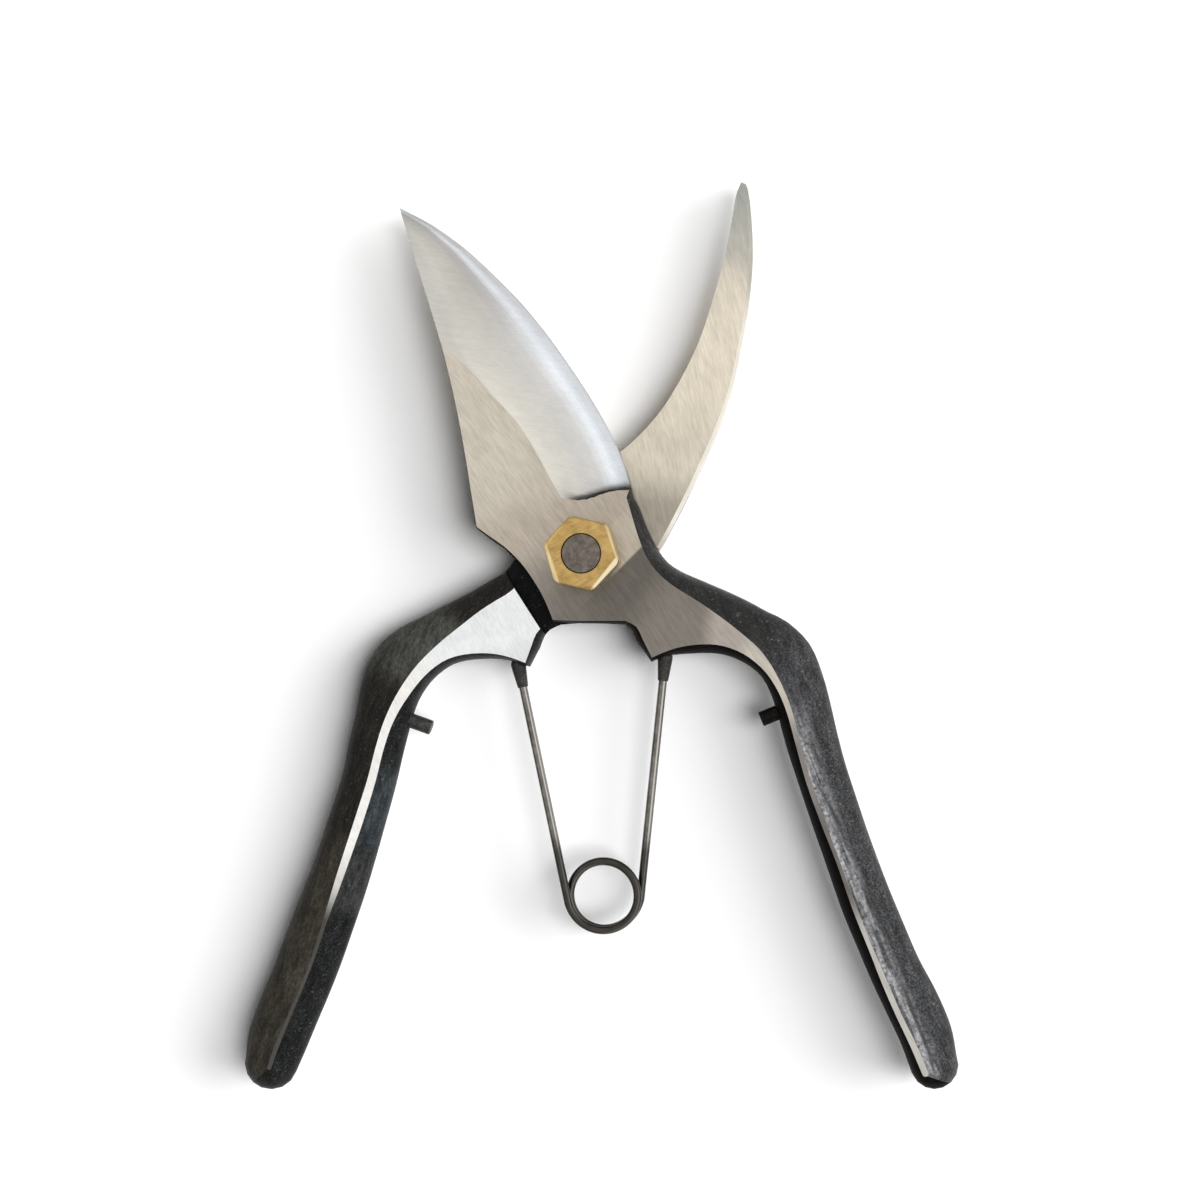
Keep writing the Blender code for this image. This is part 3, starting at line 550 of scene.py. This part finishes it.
def cuttingHalf():
    work = mergedCopy("cutting_half")
    arrises = [edge for edge in topArrises(work) if not any(isGround(face) for face in edge.link_faces)]
    rounded = softenEdges(work, arrises, halfForm["arris"], 2)
    work.normal_update()
    ground = [face for face in work.faces if face not in rounded and isGround(face)]
    # sides facing out take the lighter outer scale, sides facing in the near-black inner one: a lit and a
    # painted-shade copy of the same scale
    for face in work.faces:
        face.material_index = 0 if isFlat(face) else 2 if facesOuter(face, (0.7, 0.7)) else 3
    for face in rounded:
        face.material_index = 3
    for face in ground:
        face.material_index = 1
    inside = {
        edge for face in ground for edge in face.edges
        if all(other in ground for other in edge.link_faces)
    }
    bmesh.ops.subdivide_edges(work, edges=list(inside), cuts=halfForm["groundCuts"], use_grid_fill=True)
    ground = [face for face in work.faces if face.material_index == 1]
    inner = {
        vert for face in ground for vert in face.verts
        if all(other.material_index == 1 for other in vert.link_faces)
    }
    atHeel = [
        vert for vert in inner
        if nearest(vert.co.xy / mm, heelLine)[0] < halfForm["smoothReach"]
        and vert.co.y / mm < halfForm["smoothHigh"]
    ]
    for repeat in range(halfForm["smoothings"]):
        bmesh.ops.smooth_vert(
            work, verts=atHeel, factor=0.5, use_axis_x=True, use_axis_y=True, use_axis_z=True,
        )
    layers = {key: work.verts.layers.float.new(key) for key in ("edgeShare", "edgeRun", "heelNear")}
    for vert in work.verts:
        distance, where = nearest(vert.co.xy / mm, cuttingEdge)
        low = min(int(where), len(bevelWidths) - 2)
        width = bevelWidths[low] + (bevelWidths[low + 1] - bevelWidths[low]) * (where - low)
        vert[layers["edgeShare"]] = distance / width
        vert[layers["edgeRun"]] = where / (len(cuttingEdge) - 1)
        vert[layers["heelNear"]] = nearest(vert.co.xy / mm, heelLine)[0]
    finished(
        work, "cuttingHalf",
        [groundSteel("cuttingFlatSteel", cuttingFlat), bevelSteel("groundBevelSteel", groundBevel),
         forgedSteel("outerRightSteel", outerRight), forgedSteel("innerRightSteel", innerRight)],
        "cutting_side", "cutting_half",
    )


def hookHalf():
    work = mergedCopy("hook_half")
    bmesh.ops.bisect_plane(
        work, geom=work.verts[:] + work.edges[:] + work.faces[:], dist=0.0001 * mm,
        plane_co=(halfForm["splitAt"] * mm, 0, 0), plane_no=(1, 0, 0),
    )
    rounded = softenEdges(work, topArrises(work), halfForm["arris"], 2)
    outer = []
    for edge in work.edges:
        middle = (edge.verts[0].co + edge.verts[1].co) / 2 / mm
        beside = [face for face in edge.link_faces if isFlat(face, halfForm["jointLower"])]
        side = [face for face in edge.link_faces if abs(face.normal.z) < 0.5]
        if not isSharp(edge, halfForm["chamferAngle"]) or not beside or not side:
            continue
        if side[0].normal.x > 0.3 and middle.y > halfForm["chamferFrom"]:
            outer.append(edge)
    chamfer = softenEdges(work, outer, halfForm["hookChamfer"], 1)
    work.normal_update()
    # a flat band along the chamfer is painted pale as the edge's highlight
    blade = [
        face for face in work.faces
        if isFlat(face, halfForm["jointLower"]) and face.normal.z > 0
        and face.calc_center_median().x > halfForm["splitAt"] * mm
    ]
    rim = bmesh.ops.inset_region(
        work, faces=blade, thickness=halfForm["hookHighlightBand"] * mm, use_boundary=True, use_even_offset=True,
    )["faces"]
    band = [
        face for face in rim
        if any(other in chamfer for edge in face.edges for other in edge.link_faces)
    ]
    work.normal_update()
    for face in work.faces:
        centre = face.calc_center_median() / mm
        behind = centre.x < halfForm["splitAt"] and centre.y < halfForm["bladeFrom"]
        bladeLow = 0 if centre.x > halfForm["bladeFoot"] else halfForm["bladeFrom"]
        if isFlat(face, halfForm["top"]) or isFlat(face) and centre.z < halfForm["underside"]:
            face.material_index = 0
        # the joint-level flat behind the step takes the dark inner scale, for its scale and as painted
        # shade in the step
        elif isFlat(face, halfForm["jointLower"]):
            face.material_index = 3 if behind else 1
        elif centre.y > bladeLow and centre.z < halfForm["bladeTop"]:
            face.material_index = 1
        else:
            face.material_index = 2 if facesOuter(face, (-0.7, 0.7)) else 3
    for face in rounded:
        bare = face.calc_center_median().x < halfForm["bareLeftOf"] * mm
        face.material_index = 0 if bare else 3
    for face in chamfer:
        face.material_index = 4
    for face in band:
        face.material_index = 5
    finished(
        work, "hookHalf",
        [groundSteel("tabFlatSteel", tabFlat), groundSteel("hookFlatSteel", hookFlat),
         forgedSteel("outerLeftSteel", outerLeft), forgedSteel("innerLeftSteel", innerLeft),
         groundSteel("hookSideBevelSteel", hookSideBevel), groundSteel("hookHighlightBandSteel", hookHighlightBand)],
        "hook_side", "hook_half",
    )


cuttingHalf()
hookHalf()
print("halves: done")

pivot = {
    "threadRadius": 3.72, "boltRadius": 4.0, "headRadius": 7.2, "headTop": 2.6, "shankTop": 11.3,
    "threadFrom": 11.6, "steps": 64,
}
nut = {
    "radius": 7.506, "face": 6.3, "slope": 0.3, "bore": 3.8, "under": 11.9, "top": 17.4, "turn": 17,
    "cornerRound": 0.8, "rimRound": 0.45, "sideParts": 8, "ringParts": 48,
}
nutLook = {
    "light": (0.57, 0.365, 0.125), "dark": (0.40, 0.25, 0.075), "wearAndHighlight": (0.86, 0.72, 0.44),
    "mottle": 2.2, "scratch": (3, 0.12), "scratchTurn": 25, "scratches": 0.35, "roughness": (0.26, 0.42),
    # four of the six sides are painted lighter as highlights, two darker as shade
    "zones": [
        {"borders": [((-5.2, -1.8), (-5.5, -1.9))], "tone": (0.84, 0.70, 0.40), "amount": 0.75},
        {"borders": [((-4.3, 3.8), (-4.7, 4.1))], "tone": (0.80, 0.60, 0.28), "amount": 0.4},
        {"borders": [((4.15, -3.65), (4.4, -3.85))], "tone": (0.95, 0.84, 0.58), "amount": 0.9},
        {"borders": [((5.5, 1.9), (5.8, 2.0))], "tone": (0.86, 0.72, 0.42), "amount": 0.7},
        {"borders": [((-1.1, -5.7), (-1.2, -6.4))], "tone": (0.36, 0.22, 0.07), "amount": 0.6},
        {"borders": [((1.1, 5.8), (1.2, 6.4))], "tone": (0.52, 0.33, 0.12), "amount": 0.5},
    ],
}
boltLook = {
    "light": (0.21, 0.18, 0.15), "dark": (0.13, 0.11, 0.092), "mottle": 1.1, "roughness": (0.42, 0.58),
}


def brassMaterial(name, look):
    low, high = look["roughness"]
    made, tree, shader = newMaterial(name, look["light"], 1.0, low)
    mottle = spread(tree, blotches(tree, look["mottle"], 4, 2), 0.35, 0.65)
    scratches = spread(tree, grain(tree, look["scratchTurn"], *look["scratch"], 3, 0.6, 4), 0.5, 0.7)
    colour = mixed(tree, mottle, look["dark"], look["light"])
    colour = mixed(tree, sums(tree, "MULTIPLY", scratches, look["scratches"]), colour, look["wearAndHighlight"])
    colour = zoned(tree, colour, look["zones"])
    tree.links.new(colour, shader.inputs["Base Color"])
    tree.links.new(spread(tree, mottle, 0, 1, high, low), shader.inputs["Roughness"])
    bumped(tree, shader, (mottle, 0.3, 0.04), (scratches, 0.3, 0.02))
    return made


def boltMaterial(name, look):
    low, high = look["roughness"]
    made, tree, shader = newMaterial(name, look["light"], 0.9, low)
    mottle = spread(tree, blotches(tree, look["mottle"], 4, 6), 0.35, 0.65)
    tree.links.new(mixed(tree, mottle, look["dark"], look["light"]), shader.inputs["Base Color"])
    tree.links.new(spread(tree, mottle, 0, 1, high, low), shader.inputs["Roughness"])
    bumped(tree, shader, (mottle, 0.4, 0.04))
    return made


def pivotNut():
    # rings from the hexagon's rim over the slope's inner circle to the bore, then a wall to the under side
    work = bmesh.new()
    bmesh.ops.create_circle(work, segments=6, radius=nut["radius"] * mm)
    bmesh.ops.subdivide_edges(work, edges=work.edges[:], cuts=nut["sideParts"] - 1)
    bmesh.ops.create_circle(work, segments=nut["ringParts"], radius=nut["face"] * mm)
    bmesh.ops.bridge_loops(work, edges=work.edges[:])
    reach = (nut["face"] + 0.02) * mm
    inner = [edge for edge in work.edges if max(vert.co.length for vert in edge.verts) < reach]
    bore = bmesh.ops.create_circle(work, segments=nut["ringParts"], radius=nut["bore"] * mm)["verts"]
    bmesh.ops.bridge_loops(work, edges=inner + list({edge for vert in bore for edge in vert.link_edges}))
    grown = bmesh.ops.extrude_face_region(work, geom=work.faces[:])["geom"]
    below = {item for item in grown if isinstance(item, bmesh.types.BMVert)}
    for vert in work.verts:
        fall = max(0, vert.co.xy.length - nut["face"] * mm) * nut["slope"]
        vert.co.z = (nut["under"] - nut["top"]) * mm + fall if vert in below else -fall
    bmesh.ops.recalc_face_normals(work, faces=work.faces)
    lift = Matrix.Translation((0, 0, nut["top"] * mm))
    turned = Matrix.Rotation(math.radians(nut["turn"]), 4, "Z")
    bmesh.ops.transform(work, verts=work.verts, matrix=lift @ turned)
    upright = [
        edge for edge in work.edges
        if isSharp(edge, 40) and abs(edge.verts[0].co.z - edge.verts[1].co.z) > mm
    ]
    softenEdges(work, upright, nut["cornerRound"], 3)
    rims = [edge for edge in work.edges if isSharp(edge, 40)]
    softenEdges(work, rims, nut["rimRound"], 2)
    brass = brassMaterial("nutBrass", nutLook)
    finished(work, "pivotNut", [brass], "hook_side", "pivot_nut", 24)


def pivotBolt():
    head, headTop, shank = pivot["headRadius"], pivot["headTop"], pivot["boltRadius"]
    thread, top = pivot["threadRadius"], nut["top"]
    work = turnedShape([
        (0, 0), (head - 0.6, 0), (head - 0.2, 0.15), (head, 0.5), (head, headTop - 0.5),
        (head - 0.15, headTop - 0.15), (head - 0.6, headTop), (shank, headTop),
        (shank, pivot["shankTop"]), (thread, pivot["threadFrom"]), (thread, top - 0.28),
        (thread - 0.08, top - 0.1), (thread - 0.3, top - 0.02), (thread - 0.9, top), (0, top),
    ], pivot["steps"])
    steel = boltMaterial("boltSteel", boltLook)
    finished(work, "pivotBolt", [steel], "hook_side", "pivot_bolt")


pivotNut()
pivotBolt()
print("pivot: done")

# one wire in two pieces that meet inside the coil, so that each leg follows its own collar
spring = {
    "radius": 0.8, "coilRadius": 6.6, "pitch": 2.25, "centre": (3.55, -66.0), "leftLoose": 0.3,
    "rightLoose": 0.45, "looseTurn": 70, "leftSeat": (-13.2, -21.2), "rightSeat": (15.5, -19.8),
    "legStart": 1.9, "legParts": 12, "height": 7.25, "hiddenTurn": 30, "hiddenShare": 0.97,
    "pointsPerTurn": 72,
}
wireLook = {
    # underside darkens the wire's lower side as painted shade; the pale side colour is a painted highlight
    "light": (0.22, 0.21, 0.185), "dark": (0.12, 0.11, 0.097), "underside": 0.35,
    "mottle": 1.6, "grain": 0.25, "roughness": (0.16, 0.24),
    "rubbedAndHighlight": (0.62, 0.60, 0.55), "highlightSide": (0.93, -0.37), "highlightFrom": (0.1, 0.4),
    "highlightTo": (0.7, 0.92),
    "zones": [{"borders": [((4, -53), (4, -58))], "tone": (0.028, 0.025, 0.020), "amount": 0.8}],
}
collar = {
    "dome": 1.45, "length": 4.6, "mouth": 0.95, "hole": 0.81, "holeMouth": 0.84, "holeEnd": -1.7,
    "steps": 40,
}
collarLook = {
    "dark": (0.012, 0.011, 0.010), "light": (0.038, 0.036, 0.033), "rubbedAndHighlight": (0.15, 0.14, 0.13),
    "roughness": 0.4, "specular": 0.35, "waveSize": 1.0, "waveDepth": 0.03, "gritSize": 0.25,
    "gritDepth": 0.02, "speckRange": (0.6, 0.7), "specks": 0.4,
}


def springPaths():
    # the wire's points in mm from the left collar to the coil's middle, and from the right collar to it
    centre = Vector(spring["centre"])
    turns = []
    for key, side in (("left", -1), ("right", 1)):
        toCentre = centre - Vector(spring[key + "Seat"])
        lean = math.asin((spring["coilRadius"] + spring[key + "Loose"]) / toCentre.length)
        turns.append(math.atan2(toCentre.y, toCentre.x) + side * lean)
    start = turns[0] - math.pi / 2
    end = turns[1] + math.pi / 2 + 2 * math.pi
    drop = spring["pitch"] * (end - start) / (2 * math.pi) / 2
    loose = math.radians(spring["looseTurn"])

    def onCoil(turn):
        radius = spring["coilRadius"]
        radius += spring["leftLoose"] * max(0, 1 - (turn - start) / loose) ** 2
        radius += spring["rightLoose"] * max(0, 1 - (end - turn) / loose) ** 2
        share = (turn - start) / (end - start)
        x, y = centre + Vector((math.cos(turn), math.sin(turn))) * radius
        return Vector((x, y, spring["height"] + drop * (1 - 2 * share)))

    middle = (start + end) / 2
    hidden = math.radians(spring["hiddenTurn"])

    def arc(first, last):
        count = max(2, round(abs(last - first) / (2 * math.pi) * spring["pointsPerTurn"]))
        return [onCoil(first + (last - first) * k / count) for k in range(count + 1)]

    paths = []
    for key, first, last in (("left", start, middle), ("right", end, middle)):
        seat = Vector((*spring[key + "Seat"], spring["height"]))
        tangent = onCoil(first)
        begin = seat + (tangent - seat).normalized() * spring["legStart"]
        leg = [begin.lerp(tangent, k / spring["legParts"]) for k in range(spring["legParts"])]
        paths.append((leg + arc(first, last), seat, tangent))
    tail = arc(middle, middle + hidden)[1:]
    return paths, tail


def wireMesh(name, points, radii):
    curve = bpy.data.curves.new(name, "CURVE")
    curve.dimensions = "3D"
    curve.bevel_depth = spring["radius"] * mm
    curve.bevel_resolution = 5
    curve.use_fill_caps = True
    spline = curve.splines.new("POLY")
    spline.points.add(len(points) - 1)
    for target, place, radius in zip(spline.points, points, radii):
        target.co = (*(place * mm), 1)
        target.radius = radius
    holder = bpy.data.objects.new(name, curve)
    bpy.context.scene.collection.objects.link(holder)
    bpy.context.view_layer.update()
    mesh = bpy.data.meshes.new_from_object(holder.evaluated_get(bpy.context.evaluated_depsgraph_get()))
    bpy.data.objects.remove(holder)
    work = bmesh.new()
    work.from_mesh(mesh)
    bmesh.ops.remove_doubles(work, verts=work.verts, dist=0.001 * mm)
    bmesh.ops.recalc_face_normals(work, faces=work.faces)
    return work


def wireMaterial(name, look):
    low, high = look["roughness"]
    made, tree, shader = newMaterial(name, look["light"], 1.0, low)
    mottle = spread(tree, blotches(tree, look["mottle"], 4, 3), 0.35, 0.65)
    drawn = spread(tree, blotches(tree, look["grain"], 2, 8), 0.35, 0.65)
    # a painted highlight along one side of the wire, and painted shade below
    facing = parts(tree, "Normal")
    toX, toY = look["highlightSide"]
    side = sums(
        tree, "ADD", sums(tree, "MULTIPLY", facing["X"], toX), sums(tree, "MULTIPLY", facing["Y"], toY),
    )
    streak = sums(tree, "MULTIPLY", spread(tree, side, *look["highlightFrom"], smooth=True),
                  spread(tree, side, *look["highlightTo"], 1, 0, smooth=True))
    streak = sums(tree, "MULTIPLY", streak, spread(tree, facing["Z"], 0.1, 0.3, smooth=True))
    colour = mixed(tree, mottle, look["dark"], look["light"])
    colour = zoned(tree, mixed(tree, streak, colour, look["rubbedAndHighlight"]), look["zones"])
    # painted shade: darker on the wire's lower side
    lit = spread(tree, facing["Z"], 0.25, 0.8, look["underside"], 1, smooth=True)
    colour = scaledColour(tree, colour, lit)
    tree.links.new(colour, shader.inputs["Base Color"])
    tree.links.new(spread(tree, drawn, 0, 1, high, low), shader.inputs["Roughness"])
    bumped(tree, shader, (drawn, 0.2, 0.015))
    return made


def collarProfile():
    # (radius, height) points from the ball's crown over the neck into the wire's hole
    dome, length, mouth, hole = (collar[key] for key in ("dome", "length", "mouth", "hole"))
    slants = [math.radians(10 * k) for k in range(1, 10)]
    return [(0, dome)] + [(dome * math.sin(slant), dome * math.cos(slant)) for slant in slants] + [
        (dome, -0.3), (dome * 0.97, -0.9), (mouth + 0.12, -length + 0.5),
        (mouth + 0.08, -length + 0.15), (mouth, -length), (collar["holeMouth"], -length),
        (hole, -length + 0.3), (hole, collar["holeEnd"]), (0, collar["holeEnd"]),
    ]


def springPieces():
    paths, tail = springPaths()
    steel = wireMaterial("springSteel", wireLook)
    (leftPoints, leftSeat, leftTangent), (rightPoints, rightSeat, rightTangent) = paths
    whole = [1.0] * len(leftPoints) + [spring["hiddenShare"]] * len(tail)
    finished(
        wireMesh("springLeftLeg", leftPoints + tail, whole), "springLeftLeg", [steel],
        "spring_left_end", "spring_wire", 50,
    )
    finished(
        wireMesh("springRightLeg", rightPoints, [1.0] * len(rightPoints)), "springRightLeg", [steel],
        "spring_right_end", "spring_wire", 50,
    )
    for name, seat, tangent, body, node, slot in (
        ("collarLeft", leftSeat, leftTangent,
         "spring_left_end", "spring_ferrule_left", "left_collar_steel"),
        ("collarRight", rightSeat, rightTangent,
         "spring_right_end", "spring_ferrule_right", "right_collar_steel"),
    ):
        work = turnedShape(collarProfile(), collar["steps"])
        aimed(work, seat, seat - tangent)
        finished(work, name, [forgedSteel(name + "Steel", collarLook)], body, node)


springPieces()
print("spring: done")

peg = {"radius": 1.45, "foot": 2.9, "chamfer": 0.22, "steps": 40}
pegLook = {
    "dark": (0.008, 0.008, 0.007), "light": (0.036, 0.035, 0.032), "rubbedAndHighlight": (0.16, 0.16, 0.15),
    "roughness": 0.42, "specular": 0.3, "waveSize": 1.3, "waveDepth": 0.03, "gritSize": 0.3,
    "gritDepth": 0.02, "speckRange": (0.6, 0.7), "specks": 0.4,
}
pegs = [
    {"name": "pegLeft", "place": (-35.0, -32.0), "towards": (4.8, -1.7), "length": 5.0,
     "body": "hook_side", "node": "handle_peg_left", "slot": "left_peg_steel",
     "look": {"light": (0.045, 0.045, 0.042)}},
    {"name": "pegRight", "place": (38.2, -30.0), "towards": (-3.6, -1.5), "length": 4.6,
     "body": "cutting_side", "node": "handle_peg_right", "slot": "right_peg_steel",
     "look": {"dark": (0.002, 0.002, 0.002), "light": (0.007, 0.006, 0.005), "specular": 0.08}},
]


def pegPiece(which):
    radius, chamfer, length = peg["radius"], peg["chamfer"], which["length"]
    work = turnedShape([
        (0, -peg["foot"]), (radius, -peg["foot"]), (radius, length - chamfer),
        (radius - 0.06, length - 0.07), (radius - chamfer, length), (radius - 0.7, length - 0.02),
        (0, length - 0.05),
    ], peg["steps"])
    aimed(work, (*which["place"], spring["height"]), (*which["towards"], 0))
    steel = forgedSteel(which["name"] + "Steel", {**pegLook, **which["look"]})
    finished(work, which["name"], [steel], which["body"], which["node"])


for which in pegs:
    pegPiece(which)
print("pegs: done")

studio = {
    "floorSize": 12.0, "floorSeen": 1.08, "floorBounce": 0.6,
    "skyDiffuse": 0.07, "skySeen": 1.0, "skyLeft": 0.12, "skyRight": 0.38, "skyTop": 0.75,
    "suns": [
        {"strength": 1.85, "angle": 34, "height": 64, "turn": -8},
        {"strength": 1.95, "angle": 38, "height": 31, "turn": 2},
        {"strength": 1.50, "angle": 50, "height": 15, "turn": 18},
    ],
}
# metres from the pivot, and the focal length in pixels of the whole frame
view = {
    "place": (0.035, -0.015, 0.3916), "target": (0.0031585, -0.0087665, 0.0116), "focal": 1983.19,
    "pixels": 1200, "sensor": 36, "clip": 0.01,
}


def seenRays(tree):
    # 1 for rays that show the background itself: camera, mirror and through-glass rays
    path = addNode(tree, "ShaderNodeLightPath")
    either = sums(tree, "MAXIMUM", path.outputs["Is Camera Ray"], path.outputs["Is Glossy Ray"])
    return sums(tree, "MAXIMUM", either, path.outputs["Is Transmission Ray"])


def floorPiece():
    work = bmesh.new()
    bmesh.ops.create_grid(work, x_segments=1, y_segments=1, size=studio["floorSize"] / 2)
    mesh = bpy.data.meshes.new("floor")
    work.to_mesh(mesh)
    work.free()
    made = bpy.data.objects.new("floor", mesh)
    bpy.context.scene.collection.objects.link(made)
    paper = bpy.data.materials.new("floorPaper")
    paper.use_nodes = True
    tree = paper.node_tree
    tree.nodes.clear()
    seen, bounce = studio["floorSeen"], studio["floorBounce"]
    white = addNode(tree, "ShaderNodeBsdfDiffuse", {"Color": (seen, seen, seen, 1)}).outputs["BSDF"]
    dull = addNode(tree, "ShaderNodeBsdfDiffuse", {"Color": (bounce, bounce, bounce, 1)}).outputs["BSDF"]
    both = addNode(tree, "ShaderNodeMixShader", {0: seenRays(tree), 1: dull, 2: white}).outputs["Shader"]
    addNode(tree, "ShaderNodeOutputMaterial", {"Surface": both})
    made.data.materials.append(paper)


def lights():
    for number, which in enumerate(studio["suns"], 1):
        lamp = bpy.data.lights.new(f"sun{number}", "SUN")
        lamp.energy = which["strength"]
        lamp.angle = math.radians(which["angle"])
        sun = bpy.data.objects.new(f"sun{number}", lamp)
        sun.visible_glossy = False  # the steel mirrors the sky alone
        bpy.context.scene.collection.objects.link(sun)
        high, turn = math.radians(which["height"]), math.radians(which["turn"])
        reach = math.cos(high)
        towards = Vector((reach * math.cos(turn), reach * math.sin(turn), math.sin(high)))
        sun.rotation_mode = "QUATERNION"
        sun.rotation_quaternion = towards.to_track_quat("Z", "Y")
    world = bpy.data.worlds.new("studio")
    bpy.context.scene.world = world
    world.use_nodes = True
    tree = world.node_tree
    # what the metal mirrors: white overhead, dimmer towards the horizon and dimmest on the left
    direction = parts(tree, "Generated")
    side = spread(tree, direction["X"], -1, 1, studio["skyLeft"], studio["skyRight"])
    height = spread(tree, direction["Z"], 0, studio["skyTop"], smooth=True)
    mirrored = spread(tree, height, 0, 1, side, studio["skySeen"])
    path = addNode(tree, "ShaderNodeLightPath")
    glossy = spread(tree, path.outputs["Is Glossy Ray"], 0, 1, studio["skyDiffuse"], mirrored)
    clear = sums(tree, "MAXIMUM", path.outputs["Is Camera Ray"], path.outputs["Is Transmission Ray"])
    strength = sums(tree, "MAXIMUM", glossy, clear)
    background = tree.nodes["Background"]
    background.inputs["Color"].default_value = (1, 1, 1, 1)
    tree.links.new(strength, background.inputs["Strength"])


def camera():
    data = bpy.data.cameras.new("camera")
    data.sensor_width = view["sensor"]
    data.lens = view["sensor"] * view["focal"] / view["pixels"]
    data.clip_start = view["clip"]
    made = bpy.data.objects.new("camera", data)
    bpy.context.scene.collection.objects.link(made)
    place, target = Vector(view["place"]), Vector(view["target"])
    back = (place - target).normalized()
    right = Vector((0, 1, 0)).cross(back).normalized()
    up = back.cross(right)
    turn = Matrix((right, up, back)).transposed()
    made.matrix_world = Matrix.Translation(place) @ turn.to_4x4()
    bpy.context.scene.camera = made


floorPiece()
lights()
camera()
bpy.context.scene.view_settings.view_transform = "Standard"
print("studio: done")

bpy.context.view_layer.update()
